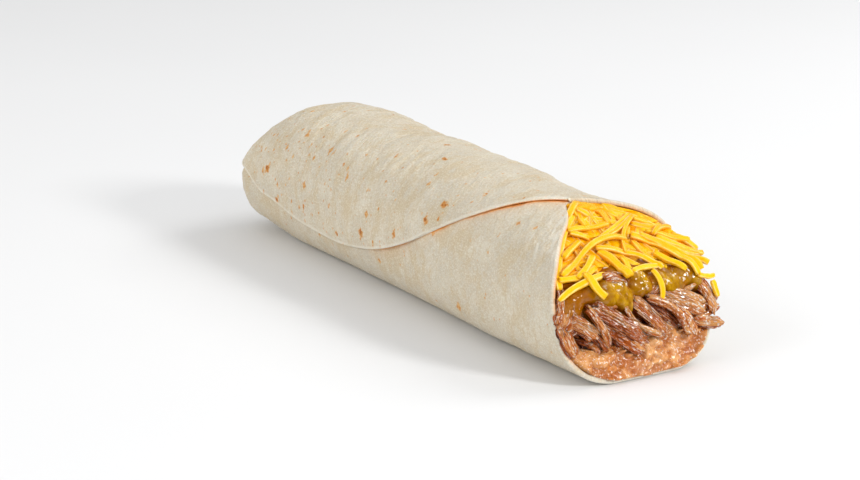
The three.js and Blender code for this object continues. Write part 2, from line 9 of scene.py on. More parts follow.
import bpy
import numpy as np
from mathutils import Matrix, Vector


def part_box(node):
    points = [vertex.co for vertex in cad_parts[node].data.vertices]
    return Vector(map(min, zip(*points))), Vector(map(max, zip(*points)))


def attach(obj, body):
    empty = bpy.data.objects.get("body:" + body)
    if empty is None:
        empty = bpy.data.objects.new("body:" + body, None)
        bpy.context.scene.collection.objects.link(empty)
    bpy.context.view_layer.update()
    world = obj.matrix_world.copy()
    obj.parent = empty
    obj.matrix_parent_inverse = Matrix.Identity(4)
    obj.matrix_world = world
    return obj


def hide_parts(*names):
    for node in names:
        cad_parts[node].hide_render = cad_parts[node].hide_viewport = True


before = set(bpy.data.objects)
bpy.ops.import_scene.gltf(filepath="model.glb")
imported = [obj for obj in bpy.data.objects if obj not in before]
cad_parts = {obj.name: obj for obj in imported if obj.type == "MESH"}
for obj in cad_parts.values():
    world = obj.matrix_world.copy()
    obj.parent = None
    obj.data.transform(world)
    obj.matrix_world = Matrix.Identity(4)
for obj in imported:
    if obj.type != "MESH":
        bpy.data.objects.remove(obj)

LOG = logging.getLogger("burrito")
Array = np.ndarray
Draw = np.random.Generator
Pair = tuple[Array, Array]
Triple = tuple[float, float, float]
Mesh = tuple[Array, list[Array]]
Table = tuple[tuple[float, ...], ...]
MILLIMETRE = 0.001
GOLDEN = 0.618034


class Layer(Enum):
    """The parts of the roll, by their name in the frame."""

    TORTILLA = "tortilla"
    CHEESE = "shredded_cheese"
    SAUCE = "green_chile_sauce"
    MEAT = "shredded_meat"
    BEANS = "refried_beans"


class Cut(Enum):
    """How a shred of cheese was grated: its thickness as a share of its width."""

    SQUARE = 0.64
    FLAT = 0.44


# --- Small maths ---


def smooth(share: Array | float) -> Array | float:
    """Ease a share from 0 to 1 with level ends."""
    held = np.clip(share, 0, 1)
    return held * held * (3 - 2 * held)


def lerp(low: Array | float, high: Array | float, share: Array | float) -> Array | float:
    """Return the value at a share of the way from low to high."""
    return low + (high - low) * share


def bowed(value: Array, power: Array | float) -> Array:
    """Raise numbers to a power and keep their signs."""
    return np.sign(value) * np.abs(value) ** power


def running(steps: Array) -> Array:
    """Add up steps, starting from none."""
    return np.concatenate([[0.0], np.cumsum(steps)])


def unit(vectors: Array) -> Array:
    """Scale vectors to length one."""
    return vectors / np.maximum(np.linalg.norm(vectors, axis=-1, keepdims=True), 1e-9)


class Curve:
    """A monotone curve through pairs of numbers."""

    def __init__(self, pairs: Table) -> None:
        """Work out the tangents.

        Args:
            pairs: The points that the curve passes through, by rising x.
        """
        self.xs, self.ys = np.array(pairs, float).T
        slopes = np.diff(self.ys) / np.diff(self.xs)
        before = np.concatenate([slopes[:1], slopes])
        after = np.concatenate([slopes, slopes[-1:]])
        product = before * after
        total = np.where(np.abs(before + after) < 1e-12, 1, before + after)
        self.tangents = np.where(product <= 0, 0, 2 * product / total)

    def __call__(self, x: Array | float) -> Array:
        """Return the curve's height, held level past its ends.

        Args:
            x: Where.

        Returns:
            One height for each x.
        """
        at = np.clip(np.searchsorted(self.xs, x, side="right") - 1, 0, len(self.xs) - 2)
        span = self.xs[at + 1] - self.xs[at]
        f = np.clip((x - self.xs[at]) / span, 0, 1)
        turn_in = f * (1 - f) * span * (self.tangents[at] * (1 - f) - self.tangents[at + 1] * f)
        return lerp(self.ys[at], self.ys[at + 1], smooth(f)) + turn_in


class Lumps:
    """Smooth random relief from -1 to 1, the same on every run."""

    cells = 8192
    mixers = (73856093, 19349663, 83492791)

    def __init__(self, seed: int) -> None:
        """Draw the lattice of one relief out of many."""
        self.lattice = np.random.default_rng(seed).uniform(-1, 1, self.cells)

    def at(self, places: Array, *size: float) -> Array:
        """Return the relief at places.

        Args:
            places: Points, three numbers each.
            *size: Length of one lump along the axes, or 1 mm.

        Returns:
            One height for each point.
        """
        scaled = places / np.array((*size, 1, 1)[:3])
        low = np.floor(scaled).astype(np.int64)
        f = smooth(scaled - low)
        total = np.zeros(scaled.shape[:-1])
        for corner in range(8):
            step = np.array([corner & 1, corner >> 1 & 1, corner >> 2 & 1])
            weight = np.prod(np.where(step == 1, f, 1 - f), axis=-1)
            cell = (low + step) * np.array(self.mixers)
            key = (cell[..., 0] ^ cell[..., 1] ^ cell[..., 2]) & (self.cells - 1)
            total += weight * self.lattice[key]
        return total * 1.5


def three(a: Array, b: Array, c: Array | float = 0.0) -> Array:
    """Stack three coordinates into points."""
    return np.stack(np.broadcast_arrays(a, b, c), axis=-1).astype(float)


# --- Meshes ---


@dataclass
class Body:
    """A mesh in the making: points in millimetres from the roll's own origin, faces, and values."""

    points: list[Array] = field(default_factory=list)
    faces: list[Array] = field(default_factory=list)
    values: dict[str, list[Array]] = field(default_factory=dict)
    count: int = 0

    def add(self, points: Array, faces: list[Array], **values: Array) -> "Body":
        """Add one closed piece, turned outward.

        Args:
            points: The piece's points.
            faces: Blocks of faces, each an array with one face a row.
            **values: What the materials read at each point.

        Returns:
            The body itself.
        """
        triangles = np.concatenate([split(block) for block in faces])
        a, b, c = (points[triangles[:, i]] for i in range(3))
        inside_out = np.einsum("ij,ij->i", a, np.cross(b, c)).sum() < 0
        self.points.append(points)
        for block in faces:
            turned = block[:, ::-1] if inside_out else block
            self.faces.append(turned + self.count)
        for name, value in values.items():
            self.values.setdefault(name, []).append(np.asarray(value, float))
        self.count += len(points)
        return self

    def build(self, name: str, shift: Array) -> bpy.types.Object:
        """Make the mesh object.

        Args:
            name: The piece's name.
            shift: Where the roll's own origin lies in the frame, in millimetres.

        Returns:
            The object, linked to the scene.
        """
        points = (np.concatenate(self.points) + shift) * MILLIMETRE
        sizes = np.concatenate([np.full(len(block), block.shape[1]) for block in self.faces])
        corners = np.concatenate([block.ravel() for block in self.faces])
        mesh = bpy.data.meshes.new(name)
        mesh.vertices.add(len(points))
        mesh.vertices.foreach_set("co", points.astype(np.float32).ravel())
        mesh.loops.add(len(corners))
        mesh.loops.foreach_set("vertex_index", corners.astype(np.int32))
        mesh.polygons.add(len(sizes))
        starts = np.concatenate([[0], np.cumsum(sizes)[:-1]])
        mesh.polygons.foreach_set("loop_start", starts.astype(np.int32))
        for key, blocks in self.values.items():
            value = np.concatenate(blocks).astype(np.float32)
            kind, socket = ("FLOAT_VECTOR", "vector") if value.ndim == 2 else ("FLOAT", "value")
            mesh.attributes.new(key, kind, "POINT").data.foreach_set(socket, value.ravel())
        mesh.update(calc_edges=True)
        mesh.polygons.foreach_set("use_smooth", np.ones(len(sizes), bool))
        made = bpy.data.objects.new(name, mesh)
        bpy.context.scene.collection.objects.link(made)
        return made


def split(block: Array) -> Array:
    """Cut faces into triangles.

    Args:
        block: Faces of three or four corners, one a row.

    Returns:
        The triangles, one a row.
    """
    if block.shape[1] == 3:
        return block
    return np.concatenate([block[:, [0, 1, 2]], block[:, [0, 2, 3]]])


def join(first: Array, second: Array) -> Array:
    """Return the faces between loops of points and the next ones, all given by number."""
    corners = [np.roll(first, -1, -1), first, second, np.roll(second, -1, -1)]
    return np.stack(corners, axis=-1).reshape(-1, 4)


def patch(rows: int, columns: int) -> Pair:
    """Number a grid of points.

    Args:
        rows: Its rows.
        columns: Its columns.

    Returns:
        The faces between the points, and the ring of points round them.
    """
    grid = np.arange(rows * columns).reshape(rows, columns)
    quads = np.stack([grid[:-1, :-1], grid[:-1, 1:], grid[1:, 1:], grid[1:, :-1]], axis=-1).reshape(-1, 4)
    return quads, np.concatenate([grid[0], grid[1:, -1], grid[-1, -2::-1], grid[-2:0:-1, 0]])


def loft(loops: Array, first_tip: Array, last_tip: Array) -> Mesh:
    """Close a body over loops of points.

    Args:
        loops: Points by loop and by place on the loop.
        first_tip: The point that the first loop closes to.
        last_tip: The point that the last loop closes to.

    Returns:
        The points and the blocks of faces.
    """
    rows, columns, _ = loops.shape
    points = np.concatenate([[first_tip], loops.reshape(-1, 3), [last_tip]])
    grid = 1 + np.arange(rows * columns).reshape(rows, columns)
    ahead = np.roll(grid, -1, axis=1)
    quads = np.stack([grid[:-1], ahead[:-1], ahead[1:], grid[1:]], axis=-1).reshape(-1, 4)
    last = len(points) - 1
    first_fan = np.stack([np.zeros(columns, int), ahead[0], grid[0]], axis=-1)
    last_fan = np.stack([np.full(columns, last), grid[-1], ahead[-1]], axis=-1)
    return points, [quads, np.concatenate([first_fan, last_fan])]


def spread(value: Array, columns: int) -> Array:
    """Give every point of a loft the value of its loop, tips included."""
    return np.concatenate([value[:1], np.repeat(value, columns, axis=0), value[-1:]])


# --- The roll ---


@dataclass
class Roll:
    """The rolled sheet's shape, in millimetres. A share goes round from the top over the seam."""

    length: float = 229.0
    sheet: float = 1.7
    # The flat tortilla's radius, and where its middle lies along and around for both of its edges.
    disc: float = 145.0
    flap_middle: tuple[float, float] = (-43.0, -87.0)
    inner_middle: tuple[float, float] = (-30.0, 100.0)
    sag: float = 0.45
    upper_curve: float = 2.08
    lower_curve: float = 3.4
    tuck: float = 8.0
    step: float = 1.8
    corner: float = 72.0
    bend_from: float = 40.0
    cell: float = 0.5
    rounds: int = 720
    # The way along from the closed end, as a share, then width, height and lift off the table.
    sections: Table = (
        (0, 53, 29, 6.3),
        (0.06, 63, 44, 2.8),
        (0.18, 62.6, 53.8, 0),
        (0.4, 62, 52.2, 0),
        (0.7, 62.4, 50.8, 0),
        (1, 59, 48.2, 0),
    )
    # How far along the open edge lies, by share round the roll.
    open_edge_pairs: Table = (
        (-0.19, 90.5), (-0.14, 83), (-0.1, 78), (-0.035, 73.5), (0.007, 72), (0.038, 79),
        (0.066, 85), (0.1, 90), (0.135, 95), (0.175, 100), (0.218, 103.3), (0.258, 105),
        (0.32, 109), (0.36, 112.5), (0.42, 114.2), (0.5, 114.5), (0.57, 114.2), (0.62, 113),
        (0.66, 112), (0.71, 109.5), (0.75, 106.5), (0.78, 101), (0.81, 90.5),
    )
    # Dents that flatten the roll: along, share, reach along, reach round, depth.
    dents: Table = (
        (-105, 0.125, 18, 0.11, 1.2),
        (-74, -0.085, 16, 0.08, 1.2),
        (47, -0.09, 22, 0.08, 1.6),
    )

    def __post_init__(self) -> None:
        """Lay out the sections once, evenly by share of the girth."""
        shares, widths, heights, lifts = zip(*self.sections)
        columns = (widths, heights, lifts)
        self.width_at, self.height_at, self.lift_at = (Curve(tuple(zip(shares, c))) for c in columns)
        self.open_edge = Curve(self.open_edge_pairs)
        self.half = self.length / 2
        self.grid_x = np.arange(-118, 122, self.cell)
        self.grid_share = np.linspace(0, 1, self.rounds + 1)
        angle = np.linspace(0, 2 * math.pi, 2 * self.rounds + 1)
        across, upward = np.sin(angle), np.cos(angle)
        power = 2 / np.where(upward > 0, self.upper_curve, self.lower_curve)
        side = -bowed(across, power)
        rise = 1 + bowed(upward, power)
        self.table = np.zeros((len(self.grid_x), len(self.grid_share), 2))
        self.girths = np.zeros(len(self.grid_x))
        for row, x in enumerate(self.grid_x):
            u = (x + self.half) / self.length
            y = self.width_at(u) / 2 * side
            z = self.height_at(u) / 2 * rise + self.lift_at(u)
            arcs = running(np.hypot(np.diff(y), np.diff(z)))
            self.girths[row] = arcs[-1]
            self.table[row, :, 0] = np.interp(self.grid_share * arcs[-1], arcs, y)
            self.table[row, :, 1] = np.interp(self.grid_share * arcs[-1], arcs, z)

    def girth(self, x: Array | float) -> Array:
        """Return the way round the roll."""
        return np.interp(x, self.grid_x, self.girths)

    def outline(self, x: Array, share: Array) -> Array:
        """Return the roll's outline.

        Args:
            x: Along the roll.
            share: Round it.

        Returns:
            Across and height for each place.
        """
        row = np.clip((x - self.grid_x[0]) / self.cell, 0, len(self.grid_x) - 1.001)
        column = (share - np.floor(share)) * self.rounds
        i, j = row.astype(int), np.minimum(column.astype(int), self.rounds - 1)
        fi, fj = (row - i)[..., None], (column - j)[..., None]
        near = lerp(self.table[i, j], self.table[i, j + 1], fj)
        far = lerp(self.table[i + 1, j], self.table[i + 1, j + 1], fj)
        return lerp(near, far, fi)

    def wrapped(self, share: Array) -> Array:
        """Bring a share into the open edge's range."""
        return share - np.floor(share - self.open_edge_pairs[0][0])

    def seam_share(self, x: Array | float) -> Array:
        """Return where the flap's edge lies: the tortilla's round edge, laid on the roll.

        Args:
            x: Along the roll.

        Returns:
            One share for each x.
        """
        held = np.clip(x, -100, self.corner)
        along, around = self.flap_middle
        arc = around + np.sqrt(self.disc**2 - (held - along) ** 2)
        return arc / self.girth(held) - 0.055 * smooth((-86 - x) / 28)

    def seam_start(self, lean: float) -> float:
        """Return the share where a ring crosses the seam.

        Args:
            lean: How far the ring leans to the open edge.

        Returns:
            The share.
        """
        places = np.linspace(self.bend_from, self.corner, 400)
        shares = self.seam_share(places)
        leans = (places - self.bend_from) / (self.open_edge(self.wrapped(shares)) - self.bend_from)
        return float(np.interp(lean, leans, shares))

    def flatness(self, share: Array) -> Array:
        """Return how flat the roll is pressed, one in the middle of the underside."""
        return smooth((0.15 - np.abs(self.wrapped(share) - 0.5)) / 0.06)

    def unevenness(self, x: Array, share: Array) -> Array:
        """Return soft dents and swellings, none where the roll lies flat.

        Args:
            x: Along the roll.
            share: Round it.

        Returns:
            How far the roll swells outward.
        """
        turn = share * 2 * math.pi
        waves = (
            0.32 * np.sin(x * 0.052 + 2.1 * np.sin(turn + 0.6))
            + 0.26 * np.sin(x * 0.115 - 3 * turn + 1.3)
            + 0.16 * np.sin(x * 0.21 + 4 * turn)
        )
        turned = self.wrapped(share)
        flare = 4.2 * smooth((x - 62) / 30) * smooth(1 - np.abs(turned + 0.14) / 0.13)
        deepest = 0 * waves
        for along, at, reach, width, deep in self.dents:
            hump = smooth(1 - np.abs(x - along) / reach) * smooth(1 - np.abs(turned - at) / width)
            deepest = np.maximum(deepest, deep * hump)
        return waves * smooth((0.34 - np.abs(share - np.round(share))) / 0.1) + flare - deepest

    def outer_depth(self, x: Array, share: Array, turn: Array) -> Array:
        """Return the outer face's depth: it starts under the flap and climbs over it."""
        under = self.step * (1 - smooth(turn / 0.3)) * (1 - self.flatness(share))
        return under - 0.4 * smooth((x - 30) / 35) * smooth((turn - 0.93) / 0.07)

    def inner_depth(self, x: Array, share: Array) -> Array:
        """Return the inner face's depth, two sheets where the flap covers the other edge.

        Args:
            x: Along the roll.
            share: Round it.

        Returns:
            The depths.
        """
        from_seam = share - self.seam_share(x)
        turn = from_seam - np.floor(from_seam)
        along, around = self.inner_middle
        inner_arc = around - np.sqrt(np.maximum(0, self.disc**2 - (x - along) ** 2))
        past = (self.wrapped(share) - inner_arc / self.girth(x)) / 0.03
        covered = smooth(past) * smooth((turn - 0.4) / 0.1)
        second = np.where(x < self.corner, covered * smooth((self.corner - x) / 6), 0)
        outer = np.maximum(0, self.outer_depth(x, share, np.minimum(turn, 0.92)))
        return outer + self.sheet + second * self.step

    def place(self, x: Array, share: Array, depth: Array) -> Array:
        """Return points of the roll.

        Args:
            x: Along the roll.
            share: Round it.
            depth: Under its outline.

        Returns:
            Points in millimetres.
        """
        x, share, depth = np.broadcast_arrays(x, share, depth)
        here = self.outline(x, share)
        step = unit(self.outline(x, share + 0.012) - self.outline(x, share - 0.012))
        outward = np.stack([step[..., 1], -step[..., 0]], axis=-1)
        lift = np.maximum(0, self.lift_at((x + self.half) / self.length))
        bedded = np.maximum(here[..., 1], self.sag + lift)
        y = here[..., 0] - outward[..., 0] * depth
        return three(x, y, bedded - outward[..., 1] * depth - self.sag)

    def lean_to(self, lean: float, share: Array) -> Array:
        """Return where a leaning ring lies along the roll."""
        return lerp(self.bend_from, self.open_edge(self.wrapped(share)), lean)

    def wall(self, share: Array, inset: float) -> Array:
        """Return points of the inner wall at the open edge.

        Args:
            share: Round the roll.
            inset: How far inside the wall.

        Returns:
            Points in millimetres.
        """
        at = self.lean_to(1, share)
        depth = self.inner_depth(at, share) - self.unevenness(at, share) + inset
        return self.place(at, share, depth)

    def wall_across(self, z: Array, inset: float) -> list[Array]:
        """Return how far across the wall stands, on the seam's side and the other.

        Args:
            z: Heights.
            inset: How far inside the wall.

        Returns:
            Both sides' places for each height.
        """
        near = self.wall(np.linspace(0.02, 0.49, 200), inset)
        far = self.wall(np.linspace(0.98, 0.51, 200), inset)
        return [np.interp(-z, -side[:, 2], side[:, 1]) for side in (near, far)]

    def squeezed(self, points: Array, x: float, inset: float) -> Array:
        """Fit a loop of points at the open end into the cavity further back.

        Args:
            points: The loop.
            x: Where it goes, along the roll.
            inset: How far it stays inside the wall.

        Returns:
            The loop's points in the cavity.
        """
        share = np.linspace(0, 1, 120, endpoint=False)
        here = self.place(x, share, self.inner_depth(np.full(120, x), share) + inset)
        low, high = here[:, 1:].min(axis=0), here[:, 1:].max(axis=0)
        ends = self.wall(share, inset)
        low_end, high_end = ends[:, 1:].min(axis=0), ends[:, 1:].max(axis=0)
        f = (points[:, 1:] - low_end) / (high_end - low_end)
        middle = (low + high) / 2
        away = lerp(low, high, f) - middle
        wall = here[:, 1:] - middle
        bearing, limit = np.arctan2(wall[:, 1], wall[:, 0]), np.hypot(wall[:, 0], wall[:, 1])
        reach = np.interp(np.arctan2(away[:, 1], away[:, 0]), bearing, limit, period=2 * math.pi)
        held = np.minimum(1, reach / np.maximum(np.hypot(away[:, 0], away[:, 1]), 1e-6))
        return np.column_stack([np.full(len(points), x), middle + away * held[:, None]])


@dataclass
class OpenEnd:
    """The faces that the filling shows: a slope under the cheese and a front nearly upright."""

    slope_x: float = 76.0
    slope_z: float = 47.0
    slope: float = 31.0
    bend: float = 38.0
    bend_at: float = 29.0
    bend_over: float = 9.0
    front_x: float = 115.0
    front_z: float = 2.0
    lean: float = 0.385

    def __post_init__(self) -> None:
        """Follow the slope down and round its lip."""
        self.downs = np.arange(-14, 72, 0.1)
        turned = self.slope + self.bend * smooth((self.downs - self.bend_at) / self.bend_over)
        self.angles = np.radians(turned)
        between = (self.angles[1:] + self.angles[:-1]) / 2
        along = running(np.cos(between) * 0.1)
        fall = running(np.sin(between) * 0.1)
        top = int(np.argmin(np.abs(self.downs)))
        self.xs = self.slope_x + along - along[top]
        self.zs = self.slope_z - fall + fall[top]

    def edge_back(self, across: Array) -> Array:
        """Return how far the filling stands back inside the open edge."""
        near = 3.2 * smooth((-across - 13) / 13)
        return near + 0.8 * smooth((across - 17) / 10)

    def heap(self, across: Array, down: Array, height: Array) -> Array:
        """Return points over the heap.

        Args:
            across: Across the roll.
            down: Down the slope and over its lip.
            height: Out from it.

        Returns:
            Points in millimetres.
        """
        across, down, height = np.broadcast_arrays(across, down, height)
        angle = np.interp(down, self.downs, self.angles)
        back = self.edge_back(across) * smooth((down - 20) / 15)
        x = np.interp(down, self.downs, self.xs) - back + height * np.sin(angle)
        return three(x, across, np.interp(down, self.downs, self.zs) + height * np.cos(angle))

    def heap_facing(self, down: Array) -> Array:
        """Return the direction out of the heap."""
        angle = np.interp(down, self.downs, self.angles)
        return three(np.sin(angle), 0, np.cos(angle))

    def front(self, across: Array, z: Array, out: Array | float) -> Array:
        """Return points on the upright front.

        Args:
            across: Across the roll.
            z: Height over the table.
            out: Out from the front.

        Returns:
            Points in millimetres.
        """
        across, z, out = np.broadcast_arrays(across, z, out)
        size = math.hypot(1, self.lean)
        x = self.front_x - (z - self.front_z) * self.lean - self.edge_back(across)
        return three(x + out / size, across, z + out * self.lean / size)


# --- Node helpers ---


Socket = bpy.types.NodeSocket
Value = Socket | float | tuple[float, ...]
Given = dict[str, Socket]
Tree = bpy.types.NodeTree
Material = bpy.types.Material


class Sketch:
    """Adds nodes to one node tree and joins them."""

    def __init__(self, tree: Tree) -> None:
        """Keep the tree."""
        self.tree = tree

    def add(self, kind: str, inputs: dict[str | int, Value], **settings: object) -> bpy.types.Node:
        """Add a node.

        Args:
            kind: The node's type.
            inputs: Values or sockets for its inputs, by name or number.
            **settings: Its properties.

        Returns:
            The node.
        """
        node = self.tree.nodes.new(kind)
        for name, value in settings.items():
            setattr(node, name, value)
        for name, value in inputs.items():
            self.feed(node.inputs[name], value)
        return node

    def feed(self, socket: Socket, value: Value) -> None:
        """Join a socket to another, or give it a plain value.

        Args:
            socket: The input.
            value: The other socket, or the value.
        """
        if isinstance(value, Socket):
            self.tree.links.new(value, socket)
        else:
            socket.default_value = value

    def maths(self, operation: str, *terms: Value) -> Socket:
        """Reckon with values."""
        return self.add("ShaderNodeMath", dict(enumerate(terms)), operation=operation).outputs[0]

    def times(self, a: Value, b: Value) -> Socket:
        """Multiply two values."""
        return self.maths("MULTIPLY", a, b)

    def times_plus(self, a: Value, b: Value, c: Value) -> Socket:
        """Multiply two values and add a third."""
        return self.maths("MULTIPLY_ADD", a, b, c)

    def blend(self, amount: Value, low: Value, high: Value) -> Socket:
        """Mix two colours."""
        return self.add("ShaderNodeMix", {0: amount, 6: low, 7: high}, data_type="RGBA").outputs[2]

    def band(self, value: Value, low: Value, high: Value, to: tuple[float, float] = (0.0, 1.0)) -> Socket:
        """Ease a value between two limits."""
        limits = {"Value": value, "From Min": low, "From Max": high, "To Min": to[0], "To Max": to[1]}
        return self.add("ShaderNodeMapRange", limits, interpolation_type="SMOOTHSTEP").outputs["Result"]

    def noise(self, place: Value, scale: Value, detail: float = 3.0, rough: float = 0.5) -> Socket:
        """Add a noise texture."""
        inputs = {"Vector": place, "Scale": scale, "Detail": detail, "Roughness": rough}
        return self.add("ShaderNodeTexNoise", inputs).outputs["Fac"]

    def stretch(self, place: Value, scale: Value, shift: float) -> Socket:
        """Scale and shift a place."""
        inputs = {"Vector": place, "Scale": scale, "Location": (shift, shift * 0.7, shift * 1.3)}
        return self.add("ShaderNodeMapping", inputs).outputs["Vector"]

    def own(self, name: str, output: str = "Fac") -> Socket:
        """Read what is kept at the mesh's points, as a number or as a Vector."""
        node = self.add("ShaderNodeAttribute", {}, attribute_type="GEOMETRY", attribute_name=name)
        return node.outputs[output]

    def bump(self, height: Value, distance: float, strength: float) -> Socket:
        """Turn heights into a normal."""
        inputs = {"Height": height, "Distance": distance, "Strength": strength}
        return self.add("ShaderNodeBump", inputs).outputs["Normal"]

    def group(self, tree: Tree, **inputs: Value) -> Socket:
        """Place a node group and return what it puts out."""
        return self.add("ShaderNodeGroup", inputs, node_tree=tree).outputs[0]


class Effects:
    """Shader node groups that more than one material uses, each built once."""

    def __init__(self) -> None:
        """Build the groups."""
        self.mottle = self.make_mottle()
        self.specks = self.make_specks()
        self.grain = self.make_grain()
        self.fibres = self.make_fibres()

    def start(self, name: str, output: str, **inputs: Value | None) -> tuple[Sketch, Given, Socket]:
        """Make an empty group that puts out one value.

        Args:
            name: The group's name.
            output: The name of what it puts out.
            **inputs: Its inputs with their values, where None stands for a place.

        Returns:
            The group's sketch, its inputs by name, and the socket of its output.
        """
        tree = bpy.data.node_groups.new(name, "ShaderNodeTree")
        for key, value in inputs.items():
            kind = "NodeSocketFloat" if isinstance(value, float) else "NodeSocketVector"
            made = tree.interface.new_socket(key, in_out="INPUT", socket_type=kind)
            if value is not None:
                made.default_value = value
        tree.interface.new_socket(output, in_out="OUTPUT", socket_type="NodeSocketFloat")
        sketch = Sketch(tree)
        given = sketch.add("NodeGroupInput", {}).outputs
        return sketch, {key: given[key] for key in inputs}, sketch.add("NodeGroupOutput", {}).inputs[output]

    def make_mottle(self) -> Tree:
        """Build soft patches of two sizes.

        Returns:
            The group: Place, Scale -> Patches, from 0 to 1.
        """
        sketch, given, patches = self.start("soft_patches", "Patches", Place=None, Scale=0.1)
        wide = sketch.noise(given["Place"], given["Scale"], 4, 0.55)
        fine = sketch.noise(given["Place"], sketch.times(given["Scale"], 3.7), 3, 0.6)
        both = sketch.times_plus(fine, 0.4, sketch.times(wide, 0.6))
        sketch.feed(patches, sketch.band(both, 0.36, 0.64))
        return sketch.tree

    def make_specks(self) -> Tree:
        """Build scattered specks.

        Returns:
            The group: Place, Scale, Share, Size -> Mask.
        """
        inputs = {"Place": None, "Scale": 0.2, "Share": 0.2, "Size": 0.25}
        sketch, given, mask = self.start("scattered_specks", "Mask", **inputs)
        place = given["Place"]
        wobble = sketch.add("ShaderNodeTexNoise", {"Vector": place, "Scale": 0.7, "Detail": 2})
        terms = {0: wobble.outputs["Color"], 1: (1.1, 1.1, 1.1), 2: place}
        bent = sketch.add("ShaderNodeVectorMath", terms, operation="MULTIPLY_ADD").outputs[0]
        kind = {"feature": "F1", "distance": "MANHATTAN", "voronoi_dimensions": "2D"}
        cells = sketch.add("ShaderNodeTexVoronoi", {"Vector": bent, "Scale": given["Scale"]}, **kind)
        parts = sketch.add("ShaderNodeSeparateColor", {"Color": cells.outputs["Color"]}).outputs
        chosen = sketch.maths("LESS_THAN", parts[0], given["Share"])
        size = sketch.times(given["Size"], parts[1])
        dot = sketch.band(cells.outputs["Distance"], size, sketch.times(size, 0.45))
        sketch.feed(mask, sketch.times(dot, chosen))
        return sketch.tree

    def make_grain(self) -> Tree:
        """Build fine relief.

        Returns:
            The group: Place, Scale -> Height.
        """
        sketch, given, height = self.start("fine_relief", "Height", Place=None, Scale=1.5)
        sketch.feed(height, sketch.noise(given["Place"], given["Scale"], 4, 0.6))
        return sketch.tree

    def make_fibres(self) -> Tree:
        """Build streaks along one axis.

        Returns:
            The group: Place, Stretch -> Streaks.
        """
        sketch, given, streaks = self.start("long_streaks", "Streaks", Place=None, Stretch=(0.12, 2.0, 2.0))
        terms = {0: given["Place"], 1: given["Stretch"]}
        scaled = sketch.add("ShaderNodeVectorMath", terms, operation="MULTIPLY").outputs[0]
        sketch.feed(streaks, sketch.band(sketch.noise(scaled, 1, 4, 0.62), 0.32, 0.68))
        return sketch.tree


Colour = tuple[float, float, float, float]


def paint(*shade: int) -> Colour:
    """Return the linear colour of a red, green and blue from 0 to 255."""
    scaled = [value / 255 for value in shade]
    return (*(v / 12.92 if v <= 0.04045 else ((v + 0.055) / 1.055) ** 2.4 for v in scaled), 1.0)


def new_material(name: str) -> tuple[Material, Sketch, bpy.types.Node]:
    """Make a material with its surface shader.

    Args:
        name: The material's name.

    Returns:
        The material, its sketch, and its Principled shader.
    """
    material = bpy.data.materials.new(name)
    material.use_nodes = True
    return material, Sketch(material.node_tree), material.node_tree.nodes["Principled BSDF"]


@dataclass(frozen=True)
class Juice:
    """How light soaks into a food."""

    weight: float
    reach: float
    tint: Triple

    def inputs(self) -> dict[str, Value]:
        """Return what the shader takes."""
        reach = self.reach * MILLIMETRE
        return {"Subsurface Weight": self.weight, "Subsurface Scale": reach, "Subsurface Radius": self.tint}


@dataclass(frozen=True)
class Shine:
    """How a surface shines: its own sheen with its warm tint, the wet film on top, and its down."""

    sheen: float
    tint: Colour
    film: float = 0.0
    blur: float = 0.1
    down: float = 0.0

    def inputs(self) -> dict[str, Value]:
        """Return what the shader takes."""
        own = {"Specular IOR Level": self.sheen, "Specular Tint": self.tint, "Sheen Weight": self.down}
        return own | {"Coat Weight": self.film, "Coat Roughness": self.blur}


class Finish:
    """A food's material. Each kind has its own colours and mixes them over a place kept on the mesh."""

    name: str
    place_name: str
    base: Colour
    juice: Juice
    shine: Shine

    def __init__(self, effects: Effects) -> None:
        """Build the material.

        Args:
            effects: The shared node groups.
        """
        self.effects = effects
        self.material, self.sketch, self.shader = new_material(self.name)
        self.place = self.sketch.own(self.place_name, "Vector")
        self.colour: Value = self.base
        self.mix()

    def mix(self) -> None:
        """Lay the colours and feed the shader."""
        raise NotImplementedError

    def moved(self, shift: float, scale: Value = (1.0, 1.0, 1.0)) -> Socket:
        """Return the place, scaled and shifted."""
        return self.sketch.stretch(self.place, scale, shift)

    def patches(self, scale: float, place: Socket | None = None) -> Socket:
        """Return soft patches."""
        return self.sketch.group(self.effects.mottle, Place=place or self.place, Scale=scale)

    def grain(self, scale: float, place: Socket | None = None) -> Socket:
        """Return fine relief."""
        return self.sketch.group(self.effects.grain, Place=place or self.place, Scale=scale)

    def streaks(self, stretch: Value, place: Socket | None = None) -> Socket:
        """Return streaks along the first axis."""
        return self.sketch.group(self.effects.fibres, Place=place or self.place, Stretch=stretch)

    def lay(self, colour: Value, amount: Value, *eased: float) -> None:
        """Lay a colour over what is there.

        Args:
            colour: The colour.
            amount: How much of it shows.
            *eased: Where the amount starts to count, where it counts in full, and how much then shows.
        """
        if eased:
            low, high, most = eased
            amount = self.sketch.band(amount, low, high, (0, most))
        self.colour = self.sketch.blend(amount, self.colour, colour)

    def serve(self, relief: tuple[Value, float, float], rough: Value, film: Value | None = None) -> None:
        """Feed the surface shader.

        Args:
            relief: The heights, how far they stand out, and their strength.
            rough: The roughness.
            film: How much wet film there is, where that differs over the surface.
        """
        fed = self.juice.inputs() | self.shine.inputs()
        fed |= {"Base Color": self.colour, "Normal": self.sketch.bump(*relief), "Roughness": rough}
        if film is not None:
            fed["Coat Weight"] = film
        for name, value in fed.items():
            self.sketch.feed(self.shader.inputs[name], value)


